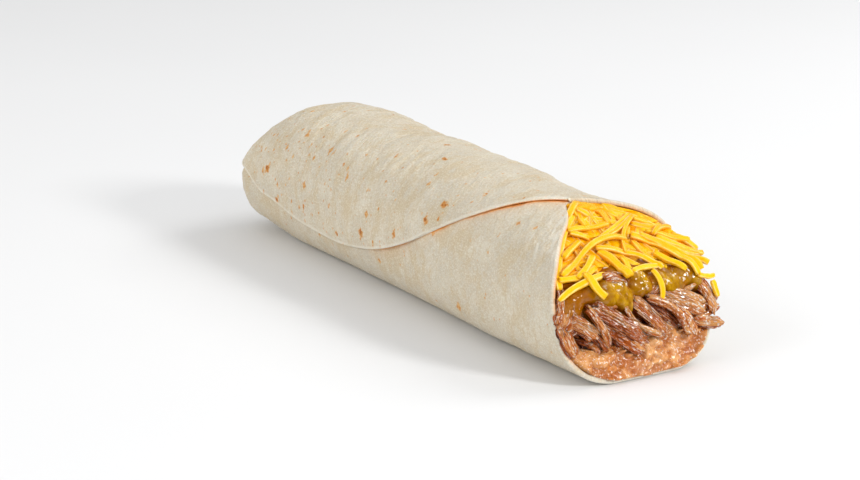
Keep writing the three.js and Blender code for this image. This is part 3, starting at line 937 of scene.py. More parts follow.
class FlourDough(Finish):
    """The finish of a griddled flour tortilla: pale, with flour grain, and freckled, with painted light on
    the rim's lower half and painted highlights on the rumpled near side.
    """

    name = "flour_dough"
    place_name = "sheet_place"
    base: Colour = paint(222, 213, 193)
    warm: Colour = paint(212, 199, 175)
    grey: Colour = paint(200, 190, 171)
    toast: Colour = paint(204, 134, 48)
    halo: Colour = paint(222, 174, 106)
    stain: Colour = paint(250, 166, 66)
    cream: Colour = paint(242, 237, 223)
    tan: Colour = paint(204, 184, 148)
    char: Colour = paint(156, 82, 30)
    # Layers of freckles: cells a millimetre, size, share, strength, stretch and offset.
    freckles: tuple[tuple, ...] = (
        (0.14, 0.3, 0.34, 0.9, (1.1, 0.8, 1), 3),
        (0.24, 0.34, 0.34, 0.8, (1.2, 0.75, 1), 19),
        (0.4, 0.36, 0.34, 0.6, (1, 0.9, 1), 43),
    )
    slant: float = 0.35
    juice: Juice = Juice(0.12, 2.0, (1.0, 0.7, 0.45))
    shine: Shine = Shine(0.25, (1.0, 1.0, 1.0, 1.0), blur=0.03, down=0.08)

    def mix(self) -> None:
        """Lay the colours and feed the shader."""
        sketch = self.sketch
        self.lay(self.warm, self.patches(0.07))
        self.lay(self.grey, sketch.times(self.patches(0.045, self.moved(37)), 0.7))
        turned = {"Vector": self.place, "Angle": self.slant}
        slanted = sketch.add("ShaderNodeVectorRotate", turned, rotation_type="Z_AXIS")
        wrinkles = self.streaks((0.75, 0.1, 1), slanted.outputs[0])
        self.lay(self.tan, sketch.times(wrinkles, self.patches(0.03)), 0.2, 0.9, 0.3)
        self.lay(self.tan, self.patches(0.11, self.moved(71, (1, 0.5, 1))), 0.45, 0.95, 0.75)
        dust = self.grain(1.6)
        self.lay(self.cream, dust, 0.44, 0.66, 0.5)
        self.lay(self.tan, self.grain(1.1, self.moved(11)), 0.46, 0.66, 0.55)

        tint = sketch.noise(self.place, 0.9, 2)
        toasted = sketch.blend(sketch.band(tint, 0.42, 0.6), self.toast, self.halo)
        for scale, size, share, strength, squash, offset in self.freckles:
            shown, place = sketch.times(sketch.own("freckles"), share), self.moved(offset, squash)
            mask = sketch.group(self.effects.specks, Place=place, Scale=scale, Share=shown, Size=size)
            self.lay(toasted, sketch.times(mask, strength))
        ragged = sketch.noise(self.place, 0.8, 3, 0.6)
        spots = sketch.times_plus(ragged, 1.5, sketch.own("spots"))
        self.lay(self.halo, spots, 1.2, 1.4, 0.5)
        self.lay(self.toast, spots, 1.3, 1.5, 0.9)
        self.lay(self.char, spots, 1.55, 1.75, 0.85)
        self.lay(self.stain, sketch.times(sketch.own("stain"), sketch.band(dust, 0.2, 0.6, (0.7, 1))))
        # pale: cream along the flap's edge and the open rim, with painted light on the rim's lower half and
        # painted highlights on the rumpled near side.
        self.lay(self.cream, sketch.own("pale"))

        relief = sketch.times_plus(wrinkles, 0.5, self.grain(2.2))
        rough = sketch.band(dust, 0.3, 0.7, (0.72, 0.9))
        self.serve((relief, 0.0006, 0.9), rough)


class GratedCheese(Finish):
    """The finish of grated yellow cheese: waxy, with painted pale highlights along the shreds' upper edges.
    """

    name = "grated_cheese"
    place_name = "shred_place"
    bright: Colour = paint(250, 193, 2)
    base: Colour = paint(248, 168, 0)
    # A pale colour laid as painted highlights along the shreds' upper edges.
    edge: Colour = paint(255, 232, 170)
    juice: Juice = Juice(0.25, 0.8, (1.0, 1.0, 1.0))
    shine: Shine = Shine(0.3, paint(255, 236, 160))

    def mix(self) -> None:
        """Lay the colours and feed the shader."""
        sketch = self.sketch
        streaks = self.streaks((0.25, 1.6, 1.6))
        # The tone mixes random tone with painted shade on low shreds and painted light on the shreds' tops.
        mixed = sketch.times_plus(streaks, 0.3, sketch.times(sketch.own("tone"), 0.8))
        self.lay(self.bright, mixed, 0.15, 0.85, 1)
        broken = sketch.times_plus(self.patches(0.35), 0.8, 0.2)
        # Painted highlights: the pale colour along the upper edges, broken into patches.
        self.lay(self.edge, sketch.times(sketch.own("edge"), broken))
        crumbs = self.grain(2.2)
        relief = sketch.times_plus(streaks, 0.5, crumbs)
        rough = sketch.band(crumbs, 0.3, 0.7, (0.2, 0.36))
        self.serve((relief, 0.0002, 0.6), rough)


class PulledMeat(Finish):
    """The finish of moist pulled meat."""

    name = "pulled_meat"
    place_name = "shred_place"
    dark: Colour = paint(72, 18, 0)
    base: Colour = dark
    brown: Colour = paint(202, 92, 14)
    light: Colour = paint(246, 176, 104)
    mauve_dark: Colour = paint(76, 22, 2)
    mauve: Colour = paint(184, 86, 26)
    mauve_light: Colour = paint(244, 178, 112)
    # A pale colour laid in flecks as painted glints on the wet fibres.
    painted_glint: Colour = paint(255, 236, 218)
    juice: Juice = Juice(0.15, 0.6, (1.0, 0.8, 0.7))
    shine: Shine = Shine(0.25, paint(255, 236, 214), 0.6, 0.12)

    def mix(self) -> None:
        """Lay the colours and feed the shader."""
        sketch = self.sketch
        streaks = self.streaks((0.14, 1.7, 1.7))
        # The tone carries the pieces' own tone, with painted light on their upper faces and painted shade
        # in the grooves and the bed.
        mixed = sketch.times_plus(streaks, 0.5, sketch.times(sketch.own("tone"), 0.75))
        low, high = sketch.band(mixed, 0.05, 0.55), sketch.band(mixed, 0.5, 1.1)
        warm = sketch.blend(high, sketch.blend(low, self.dark, self.brown), self.light)
        cool = sketch.blend(high, sketch.blend(low, self.mauve_dark, self.mauve), self.mauve_light)
        self.colour = sketch.blend(sketch.own("pink"), warm, cool)
        hairs = self.streaks((0.4, 2.6, 2.6), self.moved(7))
        pale = sketch.times(sketch.band(hairs, 0.5, 1, (0, 0.4)), sketch.band(mixed, 0.2, 0.7))
        self.lay(self.light, pale)
        self.lay(self.dark, hairs, 0.4, 0, 0.25)
        # Painted glints: pale flecks along the fibres, most on the lighter parts.
        glints = self.streaks((0.7, 2.2, 2.2), self.moved(31))
        lit = sketch.times(sketch.band(glints, 0.64, 0.88), sketch.band(mixed, 0.3, 0.75, (0.15, 1)))
        self.lay(self.painted_glint, lit)
        grain = self.grain(1.1)
        relief = sketch.times_plus(hairs, 0.9, grain)
        rough = sketch.band(grain, 0.35, 0.65, (0.12, 0.32))
        film = sketch.band(glints, 0.4, 0.7, (0.05, 1))
        self.serve((relief, 0.0006, 1), rough, film)


class BeanPaste(Finish):
    """The finish of mashed, fried beans."""

    name = "bean_paste"
    place_name = "paste_place"
    base: Colour = paint(210, 126, 44)
    light: Colour = paint(236, 176, 112)
    dark: Colour = paint(176, 86, 6)
    # A pale colour laid in flecks as painted glints on the wet paste.
    painted_glint: Colour = paint(255, 238, 220)
    juice: Juice = Juice(0.2, 1.0, (1.0, 0.85, 0.75))
    shine: Shine = Shine(0.3, paint(255, 238, 214), 0.7, 0.06)

    def mix(self) -> None:
        """Lay the colours and feed the shader."""
        sketch = self.sketch
        patches, grain, fine = self.patches(0.16), self.grain(0.9), self.grain(1.3)
        self.lay(self.light, patches)
        # Painted shade: the dark colour gathers in the hollows between the lumps, and in random patches.
        self.lay(self.dark, sketch.times_plus(patches, -0.15, sketch.own("hollow")), 0.1, 1.2, 0.9)
        self.lay(self.light, grain, 0.5, 0.8, 0.5)
        # Painted glints: small pale flecks over the paste.
        self.lay(self.painted_glint, fine, 0.57, 0.64, 0.9)
        rough = sketch.band(fine, 0.35, 0.7, (0.08, 0.28))
        film = sketch.band(grain, 0.3, 0.5, (0.2, 1))
        self.serve((fine, 0.0006, 1), rough, film)


class ChileGlaze(Finish):
    """The finish of a wet, half-clear green chile sauce."""

    name = "chile_glaze"
    place_name = "paste_place"
    pale: Colour = paint(188, 140, 2)
    # A pale colour laid as painted glints on the wet upper sauce.
    film: Colour = paint(255, 250, 232)
    olive: Colour = paint(158, 106, 0)
    base: Colour = paint(138, 74, 0)
    brown: Colour = paint(152, 86, 0)
    juice: Juice = Juice(0.3, 1.2, (1.0, 0.8, 0.3))
    shine: Shine = Shine(0.1, paint(255, 232, 160), 0.45, 0.04)

    def mix(self) -> None:
        """Lay the colours and feed the shader."""
        sketch = self.sketch
        # The light value is paler where the sauce stands out further, painted light on the raised tops,
        # mixed with random patches.
        mixed = sketch.times_plus(self.patches(0.16), 0.35, sketch.times(sketch.own("light"), 0.65))
        self.lay(self.olive, mixed, 0.1, 0.5, 1)
        self.lay(self.pale, mixed, 0.5, 0.9, 1)
        self.lay(self.brown, sketch.times(sketch.own("browned"), 0.85))
        # Painted glints: pale flecks where the wet mask lies.
        self.lay(self.film, sketch.times(sketch.band(self.grain(0.8), 0.54, 0.6), sketch.own("wet")))
        soft = self.grain(0.4)
        rough = sketch.band(soft, 0.3, 0.7, (0.2, 0.4))
        film = sketch.band(soft, 0.46, 0.6, (0.05, 1))
        self.serve((soft, 0.0008, 0.6), rough, film)


# --- Tortilla ---


@dataclass(frozen=True)
class LoopPlan:
    """One loop round the sheet, point by point: under the flap, over the face, round its edge."""

    turn: Array
    under: Array
    edge: Array
    back: Array
    curl: Array
    reach: Array
    inner: Array


@dataclass
class Tortilla:
    """The rolled sheet: outer face, flap with its edge, open rim, inner face and tucked end."""

    roll: Roll
    girth: float = 186.0
    edge_radius: float = 0.48
    filled: float = 0.45
    rim_radius: float = 0.8
    lap: float = 0.028
    tuck_height: float = 19.5
    cavity_height: float = 22.0
    face_columns: int = 236
    body_rows: int = 205
    lean_rows: int = 92
    # Creases pressed in: along and around at both ends, width and depth.
    creases: Table = (
        (-43, 8, -36, 38, 2.2, 0.5), (-50, 10, -47, 30, 1.6, 0.35),
        (-66, 2, -58, 30, 2.4, 0.35), (-28, -4, -20, 22, 1.8, 0.3),
        (-9, 2, -3, 26, 2, 0.3), (9, -8, 14, 12, 1.8, 0.25),
        (-80, -5, -74, 22, 2.2, 0.3), (-97, 0, -92, 26, 2.5, 0.45),
    )
    # Toasted flecks on the flap: along, around, half length round the roll, half width.
    flecks: Table = (
        (-83, 40.5, 1.5, 1.7), (-75.5, 43.5, 1.5, 0.8), (-44.5, 25.5, 2.2, 0.8), (-28.5, 30, 1.6, 0.9),
        (-5, 27.5, 1.3, 0.8), (9, 9.5, 0.9, 1.4), (-4.5, 0, 1.1, 1.5), (32, 26.5, 1.5, 1.5),
        (-12, 48, 1.5, 1.6), (-4, 49.5, 2.4, 0.9), (-54.5, 49, 2.8, 0.9), (-75.5, 51, 1.3, 1.4),
        (-63.5, 53, 1.2, 0.9), (-49, 50.5, 1.2, 0.9), (-40.5, 53, 1.4, 0.8), (-30.5, 53, 1.3, 1.2),
        (-6, 40, 1.3, 0.8), (10.5, 43, 2, 1.2), (13, 40.5, 1.3, 0.8), (27.5, 34, 1.5, 1.4),
        (33.5, 31.5, 2.3, 0.8), (43.5, 15.5, 2.6, 0.9), (60.5, 11, 2.2, 0.7), (-42.5, 15, 2.8, 0.7),
        (-89, 27, 1.6, 0.8),
    )
    # The same below the flap.
    low_flecks: Table = (
        (52, 33.5, 1.4, 0.8), (64.5, 28, 1.6, 0.7), (66, 50.5, 2.2, 0.8), (14, 49.5, 1.4, 0.7),
        (88, 42, 1.2, 0.7), (-30, 63, 1, 0.8),
    )

    def plan(self) -> LoopPlan:
        """Lay out the points of a loop.

        Returns:
            The plan.
        """
        radius = self.edge_radius / self.girth
        under = np.linspace(-self.lap, -0.0035, 4)
        near = np.linspace(0, 0.02, 10)[:-1]
        wide = np.linspace(0.02, 0.97, self.face_columns)[:-1]
        face = np.concatenate([near, wide, np.linspace(0.97, 1 - radius, 12)])
        angle = np.linspace(0, math.pi, 9)[1:]
        back = np.linspace(0.004, self.lap, 4)
        counts = [len(under), len(face), len(angle), len(back)]
        kind = np.repeat([0, 1, 2, 3], counts)
        turn = np.concatenate([under, face, 1 - radius * (1 - np.sin(angle)), 1 - radius - back])
        curl, reach = np.zeros((2, len(turn)))
        curl[kind == 2] = angle
        reach[kind == 3] = np.linspace(0.1, 1, len(back))
        first = np.linspace(-0.002, -0.0005, counts[0])
        rest = np.linspace(0.9951, 0.9979, counts[2] + counts[3])
        inner = np.concatenate([first, face * 0.995, rest])
        return LoopPlan(turn, kind == 0, kind == 2, kind == 3, curl, reach, inner)

    def rumpled(self, x: Array, around: Array) -> Array:
        """Return one where the near side is rumpled beside the open end, else none."""
        beside_end = smooth((x - 70) / 16)
        return beside_end * smooth((around - 1) / 4) * smooth((40 - around) / 18)

    def relief(self, x: Array, around: Array) -> Array:
        """Return the outer face's fine wrinkles, creases and soft swellings.

        Args:
            x: Along the roll.
            around: Round it from the top.

        Returns:
            How far the face swells outward.
        """
        places = three(x - 0.3 * around, around)
        fine = 1 - np.abs(Lumps(5).at(places + 9, 3, 8))
        broad = 1 - np.abs(Lumps(6).at(places + 91, 7, 18))
        soft = Lumps(7).at(places, 9, 11)
        pimples = Lumps(8).at(places, 2.2, 2.6)
        top = smooth((60 - np.abs(around - 10)) / 30) * smooth((75 - x) / 50)
        wrinkles = 0.2 * (fine**3 - 0.3) + 0.15 * (broad**2 - 0.4)
        height = (0.3 + 0.7 * top) * wrinkles + 0.15 * soft + 0.1 * pimples
        height += 0.16 * self.rumpled(x, around) * Lumps(10).at(places, 1.4, 3)
        for x0, a0, x1, a1, width, depth in self.creases:
            f = np.clip((around - a0) / (a1 - a0), 0, 1)
            across = (x - lerp(x0, x1, f)) / width
            ends = smooth((around - a0) / 8) * smooth((a1 - around) / 8)
            height += depth * ends * (0.8 * np.exp(-((across - 1.1) ** 2)) - np.exp(-(across**2)))
        return height

    def fleck_mask(self, x: Array, around: Array, flap: Array) -> Array:
        """Return where the placed flecks lie.

        Args:
            x: Along the roll.
            around: Round it from the top.
            flap: Whether a point is on the flap.

        Returns:
            One in the middle of a fleck, falling to none round it.
        """
        mask = np.zeros_like(x)
        for table, on in ((self.flecks, flap), (self.low_flecks, ~flap)):
            for along, at, long, wide in table:
                away = np.hypot((x - along) / (wide * 1.9), (around - at) / (long * 1.7))
                deep = min(1.15, 0.5 + 0.45 * wide)
                mask = np.maximum(mask, np.where(on, np.clip(deep - away, 0, 1), 0))
        return mask

    def edge_stand(self, x: float) -> float:
        """Return how far the flap's edge stands off the sheet under it."""
        wave = 0.1 * math.sin(x * 0.16) + 0.08 * math.sin(x * 0.07 + 1)
        return 0.12 + wave - 0.1 * float(smooth((x - 10) / 30))

    def freckles(self, x: Array, share: Array, turn: Array) -> Array:
        """Return how thickly toasted freckles lie: most on the flap and at the closed end.

        Args:
            x: Along the roll.
            share: Round it.
            turn: Round it from the flap's edge.

        Returns:
            From none to one.
        """
        on_flap = smooth((turn - 0.72) / 0.1)
        back = smooth((30 - x) / 130)
        low = smooth((share - 0.02) / 0.2)
        flap = on_flap * lerp(0.35, 1, back) * lerp(0.45, 1, low)
        return np.clip(0.09 + 0.9 * flap + 0.16 * (1 - on_flap) * back, 0, 1)

    def outer_loop(self, x: float, lean: float, plan: LoopPlan) -> Pair:
        """Return one loop of the outer face with what the dough's finish reads there.

        Args:
            x: Along the roll, for an upright loop.
            lean: How far the loop leans to the open edge.
            plan: The loop's points.

        Returns:
            The points, and along, around, freckles, stain, pale and spots for each.
        """
        roll = self.roll
        start = float(roll.seam_share(x)) if lean == 0 else roll.seam_start(lean)
        share = start + plan.turn
        at = np.full(len(share), x) if lean == 0 else roll.lean_to(lean, share)
        seam_x = x if lean == 0 else float(roll.lean_to(lean, np.array(start)))
        side = roll.wrapped(share)
        around = side * self.girth
        fade = smooth((roll.open_edge(side) - at) / 3) * (1 - roll.flatness(share))
        stand = self.edge_stand(seam_x)
        face = roll.outer_depth(at, share, np.clip(plan.turn, 0, 1))
        base = roll.outer_depth(at, share, np.ones(len(share))) - stand
        depth = face - stand * smooth((plan.turn - 0.94) / 0.05)
        filled = self.filled + 0.35 * float(smooth((seam_x - 5) / 40))
        fillet = filled * np.exp(-np.maximum(plan.turn, 0) * self.girth / 6)
        depth -= np.where(plan.turn < 0.5, fillet, 0)
        depth = np.where(plan.under, roll.step + 0.06 - filled, depth)
        depth = np.where(plan.edge, base + self.edge_radius * (1 - np.cos(plan.curl)), depth)
        under_flap = lerp(base + 2 * self.edge_radius, roll.step - 0.02 - filled, plan.reach)
        depth = np.where(plan.back, under_flap, depth)
        depth -= roll.unevenness(at, share)
        depth -= np.where(plan.edge | plan.back, 0, fade * self.relief(at, around))

        flap = plan.turn > 0.5
        gap = np.where(flap, 0, plan.turn) * self.girth
        below = np.maximum(1 - smooth(gap / 0.8), 0.4 * np.exp(-gap / 1.6))
        line = np.where(flap, smooth((plan.curl - 1.3) / 0.6), below)
        line = np.where(plan.under | plan.back, 1, line)
        broken = 0.75 + 0.35 * Lumps(9).at(three(np.array(seam_x), 0), 7)
        stain = line * lerp(0.15, 1, smooth((seam_x + 25) / 40)) * np.clip(broken, 0, 1)
        from_edge = (1 - plan.turn) * self.girth
        pale = np.where(flap & ~plan.back, smooth((1.5 - from_edge) / 0.9) * (1 - line), 0)
        # The open rim is cream, far paler on its lower half as painted light where it faces down into
        # shade.
        rim = smooth((at - roll.open_edge(side) + 1.6) / 1.4)
        pale = np.maximum(pale * 0.5, rim * lerp(0.2, 0.9, smooth((side - 0.33) / 0.1)))
        # Painted highlights: pale streaky patches on the rumpled near side.
        rumple_noise = Lumps(11).at(three(at - 0.3 * side * self.girth, around), 0.9, 2.6)
        rumple_highlight = 0.5 * self.rumpled(at, around) * smooth((rumple_noise - 0.05) / 0.5)
        pale = np.maximum(pale, rumple_highlight * (1 - line))
        looks = [self.freckles(at, side, plan.turn), stain, pale, self.fleck_mask(at, around, flap)]
        return roll.place(at, share, depth), np.column_stack([at, share * self.girth, *looks])

    def inner_loop(self, x: float, lean: float, plan: LoopPlan) -> Pair:
        """Return one loop of the inner face, with the same values as the outer one.

        Args:
            x: Along the roll, for an upright loop.
            lean: How far the loop leans to the open edge.
            plan: The loop's points.

        Returns:
            The points and their values.
        """
        roll = self.roll
        share = roll.seam_share(roll.corner) + plan.inner
        at = np.full(len(share), x) if lean == 0 else roll.lean_to(lean, share)
        depth = roll.inner_depth(at, share) - roll.unevenness(at, share)
        side = roll.wrapped(share)
        far = smooth((-side - 0.02) / 0.06) * smooth((at - roll.open_edge(side) + 9) / 6)
        near = smooth((side - 0.01) / 0.03) * smooth((0.36 - side) / 0.06)
        none = np.zeros(len(share))
        values = [at + 400, share * self.girth, none + 0.1, 0.9 * near + 0.32 * far, none, none]
        return roll.place(at, share, depth), np.column_stack(values)

    def end_loops(self, rim: Array, values: Array) -> tuple[list[Array], list[Array]]:
        """Draw the last section in to the tucked end, with its folds.

        Args:
            rim: The last section's loop.
            values: Its values.

        Returns:
            The loops from the middle outward, and their values.
        """
        middle = np.array([-self.roll.half, 0, self.tuck_height])
        bulge = Curve([(0, 0.1), (0.22, 0.3), (0.5, 1.6), (0.78, 2.2), (0.93, 1.5), (1, 0)])
        angle = np.arctan2(rim[:, 2] - middle[2], rim[:, 1])
        loops, kept = [], []
        for share in np.linspace(0.04, 0.985, 30):
            turned = angle + 0.7 * (1 - share)
            fold = 0.7 * np.sin(2 * turned + share * 5) * (1 - share)
            for at, deep in ((0.5, 0.9), (2.7, 1.1), (-2.2, 0.7)):
                gap = np.angle(np.exp(1j * (turned - at))) * (4 + 22 * share)
                fold -= deep * np.exp(-((gap / 1.3) ** 2)) * smooth((1 - share) / 0.3)
            loop = lerp(middle, rim, share)
            loop[:, 0] = -self.roll.half - bulge(share) - fold
            loops.append(loop)
            value = values.copy()
            value[:, 0] -= (1 - share) * 25
            kept.append(value)
        return loops, kept

    def rim_loops(self, outer: Pair, inner: Pair) -> list[Pair]:
        """Round the open rim from the outer face to the inner one.

        Args:
            outer: The outer face's last loop and its values.
            inner: The inner face's.

        Returns:
            The loops between them, with their values.
        """
        loops = []
        for angle in np.linspace(0, math.pi, 8)[1:-1]:
            across = (1 - math.cos(angle)) / 2
            points = lerp(outer[0], inner[0], across)
            points[:, 0] += self.rim_radius * math.sin(angle)
            values = outer[1].copy()
            values[:, 2] = 0.1
            values[:, 3] = lerp(outer[1][:, 3] * 0.3, inner[1][:, 3], float(smooth(across)))
            values[:, 4] = lerp(outer[1][:, 4], 0, float(smooth(across)))
            loops.append((points, values))
        return loops

    def build(self) -> Body:
        """Build the whole sheet as one closed body.

        Returns:
            The body.
        """
        roll = self.roll
        plan = self.plan()
        straight = np.linspace(-roll.half, roll.bend_from, self.body_rows)
        rows = [self.outer_loop(x, 0, plan) for x in straight]
        end = self.end_loops(*rows[0])
        leans = np.linspace(0, 1, self.lean_rows + 1)[1:]
        rows += [self.outer_loop(roll.bend_from, lean, plan) for lean in leans]
        for row, back in ((-1, 1), (-2, 0.45), (-3, 0.15)):
            rows[row][0][:, 0] -= self.rim_radius * back
        edge = self.inner_loop(roll.bend_from, 1, plan)
        edge[0][:, 0] -= self.rim_radius
        rows += self.rim_loops(rows[-1], edge) + [edge]
        rows += [self.inner_loop(roll.bend_from, lean, plan) for lean in (0.95, 0.9, 0.82, 0.7, 0.5, 0.25)]
        rows += [self.inner_loop(x, 0, plan) for x in (roll.bend_from, -5, -50, -84, -97, -104)]
        loops = np.array(end[0] + [row[0] for row in rows])
        values = np.array(end[1] + [row[1] for row in rows]).reshape(-1, 6)
        values = np.concatenate([values[:1], values, values[-1:]])
        back_tip = np.array([-roll.half, 0, self.tuck_height])
        cavity_tip = np.array([-roll.half + roll.tuck + 1, 0, self.cavity_height])
        points, faces = loft(loops, back_tip, cavity_tip)
        looks = {name: values[:, 2 + i] for i, name in enumerate(("freckles", "stain", "pale", "spots"))}
        return Body().add(points, faces, sheet_place=three(values[:, 0], values[:, 1]), **looks)

    def shift_to_frame(self, body: Body) -> Array:
        """Find what moves the roll's own coordinates onto the frame.

        Args:
            body: The sheet.

        Returns:
            The move, in millimetres.
        """
        low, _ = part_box(Layer.TORTILLA.value)
        own = np.concatenate(body.points).min(axis=0)
        return (np.array(low) / MILLIMETRE - own) * (1, 1, 0)


# --- Filling beds ---


@dataclass
class Bed:
    """A layer of filling that runs through the roll, with relief on the face that shows."""

    roll: Roll
    end: OpenEnd
    inset: float = 0.25
    slack: float = 0.6
    stations: tuple[float, ...] = (60.0, 20.0, -5.0, -30.0, -55.0, -75.0, -88.0, -95.0, -101.0)

    def grid(self, low: Callable, high: Callable, columns: int, rows: int) -> Pair:
        """Return across and height over a layer, row by row, from wall to wall.

        Args:
            low: The layer's lower line, by across.
            high: Its upper line.
            columns: Steps across.
            rows: Steps up.

        Returns:
            Two arrays, by row and by column.
        """
        u = np.linspace(0, 1, columns + 1)[None, :]
        v = np.linspace(0, 1, rows + 1)[:, None]
        across = lerp(-28, 28, u) + 0 * v
        for _ in range(6):
            z = lerp(low(across), high(across), v)
            left, right = self.roll.wall_across(z, self.inset)
            across = lerp(left, right, u)
        return across, lerp(low(across), high(across), v)

    def through(self, face: Array) -> Mesh:
        """Close a face that shows with a body that runs back through the roll.

        Args:
            face: The face's points, by row and by column.

        Returns:
            The points and the blocks of faces.
        """
        front, ring = patch(*face.shape[:2])
        rim = face.reshape(-1, 3)[ring]
        loops = [rim + np.array([-2, 0, 0])]
        loops += [self.roll.squeezed(rim, x, self.inset + self.slack) for x in self.stations]
        back = np.array(loops)
        tip = back[-1].mean(axis=0) + np.array([-1, 0, 0])
        points = np.concatenate([face.reshape(-1, 3), back.reshape(-1, 3), [tip]])
        rings = face[..., 0].size + np.arange(len(back) * len(rim)).reshape(len(back), len(rim))
        chain = np.concatenate([[ring], rings])
        fan = np.stack([np.roll(chain[-1], -1), chain[-1], np.full(len(rim), len(points) - 1)], axis=-1)
        return points, [front, join(chain[:-1], chain[1:]), fan]


def edge_ease(shape: tuple[int, int], width: int) -> Array:
    """Return 0 on the outline of a grid and 1 from so many cells inside it."""
    rows, columns = (np.minimum(np.arange(count), np.arange(count)[::-1]) for count in shape)
    return smooth(np.minimum(rows[:, None], columns[None, :]) / width)


def bean_top(across: Array) -> Array:
    """Return the height of the beans."""
    return 12.4 + 1.6 * np.sin(across * 0.16 + 1) + 2.6 * smooth((across - 6) / 14)


def meat_top(across: Array) -> Array:
    """Return the height of the meat."""
    return 24.5 + 1.2 * np.sin(across * 0.2)


def sauce_top(across: Array) -> Array:
    """Return the height of the sauce."""
    return 29.6 + 1.1 * np.sin(across * 0.22 + 2)


@dataclass
class RefriedBeans(Bed):
    """The bean paste along the bottom, lumpy where it shows."""

    columns: int = 210
    rows: int = 66
    blobs: int = 150

    def lumps(self, across: Array, z: Array) -> Array:
        """Return how far the mashed beans swell out over the front.

        Args:
            across: Across the roll.
            z: Height over the table.

        Returns:
            One height for each place.
        """
        draw = np.random.default_rng(21)
        places = three(across, z)
        bent = across + 0.7 * Lumps(22).at(places, 3.2, 2.8)
        lifted = z + 0.7 * Lumps(23).at(places, 3.2, 2.8)
        total = np.full(across.shape, -0.9)
        for _ in range(self.blobs):
            wide, rise = draw.uniform(1, 4.2), draw.uniform(0.8, 3)
            u = (bent - draw.uniform(-29, 30)) / wide
            v = (lifted - draw.uniform(1, 16)) / (wide * draw.uniform(0.45, 0.9))
            dome = np.maximum(0, 1 - u**2 - v**2) ** 0.5
            total = 0.25 * np.logaddexp(total / 0.25, (-1.4 + (rise + 0.8) * dome) / 0.25)
        fine = 0.36 * Lumps(24).at(places, 1.8, 1.4) + 0.14 * Lumps(25).at(places, 0.9, 0.8)
        return total - 0.35 + fine

    def build(self) -> Body:
        """Build the paste.

        Returns:
            The body.
        """
        floor = self.roll.sheet - 0.1
        across, z = self.grid(lambda y: 0 * y + floor, bean_top, self.columns, self.rows)
        relief = self.lumps(across, z)
        ease = edge_ease(across.shape, 4)
        right = 1.6 * smooth((across - 19) / 8)
        tucked = 1.8 * smooth((np.linspace(0, 1, self.rows + 1)[:, None] - 0.74) / 0.26)
        out = (relief + right - tucked) * ease - 0.5 * (1 - ease)
        face = self.end.front(across, z, out)
        hang = np.exp((floor - z) / 1.1)
        face[..., 0] += 0.6 * hang
        face[..., 2] -= 0.5 * hang
        points, faces = self.through(face)
        hollow = np.zeros(len(points))
        # Painted shade: darker where the lumps sink back.
        hollow[: out.size] = np.clip(0.78 - 0.7 * relief, 0, 1).ravel()
        return Body().add(points, faces, paste_place=points, hollow=hollow)


# --- Swept pieces ---


def quadratic(ends: Array, share: Array) -> Pair:
    """Follow the curve through three points.

    Args:
        ends: The points.
        share: How far along, from 0 to 1.

    Returns:
        The places there and the directions.
    """
    start, through, stop = ends
    pull = 2 * through - (start + stop) / 2
    s = share[..., None]
    places = (1 - s) ** 2 * start + 2 * s * (1 - s) * pull + s**2 * stop
    return places, unit((1 - s) * (pull - start) + s * (stop - pull))


def beside(along: Array, facing: Array) -> Pair:
    """Return the directions across a line and out of it."""
    side = unit(np.cross(along, facing))
    return side, np.cross(side, along)


@dataclass(frozen=True)
class Strand:
    """A long thin piece: its line, its facing, and its section as it runs."""

    line: Array
    facing: Array
    section: Array
    scale: Array
    twist: Array

    def mesh(self, seed: float) -> tuple[Array, list[Array], Array]:
        """Build the strand.

        Args:
            seed: Sets its grain apart from the others'.

        Returns:
            The points, the blocks of faces, and each point's place along and in the strand.
        """
        side, up = beside(unit(np.gradient(self.line, axis=0)), self.facing)
        cos, sin = np.cos(self.twist)[:, None, None], np.sin(self.twist)[:, None, None]
        u, v = self.section[None, :, :1], self.section[None, :, 1:]
        scale = self.scale[:, None, None]
        first = (u * cos - v * sin) * scale
        second = (u * sin + v * cos) * scale
        loops = self.line[:, None] + side[:, None] * first + up[:, None] * second
        rows, columns, _ = loops.shape
        points, faces = loft(loops, self.line[0], self.line[-1])
        steps = np.linalg.norm(np.diff(self.line, axis=0), axis=1)
        run = spread(running(steps), columns)
        lined = np.concatenate([[[0, 0]], np.tile(self.section, (rows, 1)), [[0, 0]]])
        place = three(run + seed * 53, lined[:, 0] + seed * 17, lined[:, 1] + seed * 29)
        return points, faces, place


def cut_section(width: float, thickness: float) -> Pair:
    """Return the outline of a cut strand with softened edges.

    Args:
        width: Its width.
        thickness: Its thickness.

    Returns:
        Points round the outline, and how much painted highlight each carries, most at the two upper
        corners.
    """
    ease = 0.13 * min(width, thickness)
    w, t = width / 2, thickness / 2
    points = [
        (w, -t + ease), (w, t - ease), (w - ease, t), (0.45 * w, t + 0.04), (-0.45 * w, t + 0.04),
        (-w + ease, t), (-w, t - ease), (-w, -t + ease), (-w + ease, -t), (w - ease, -t),
    ]
    return np.array(points), np.array([0, 0.4, 1, 0, 0, 1, 0.4, 0, 0, 0], float)


# --- Sauce ---


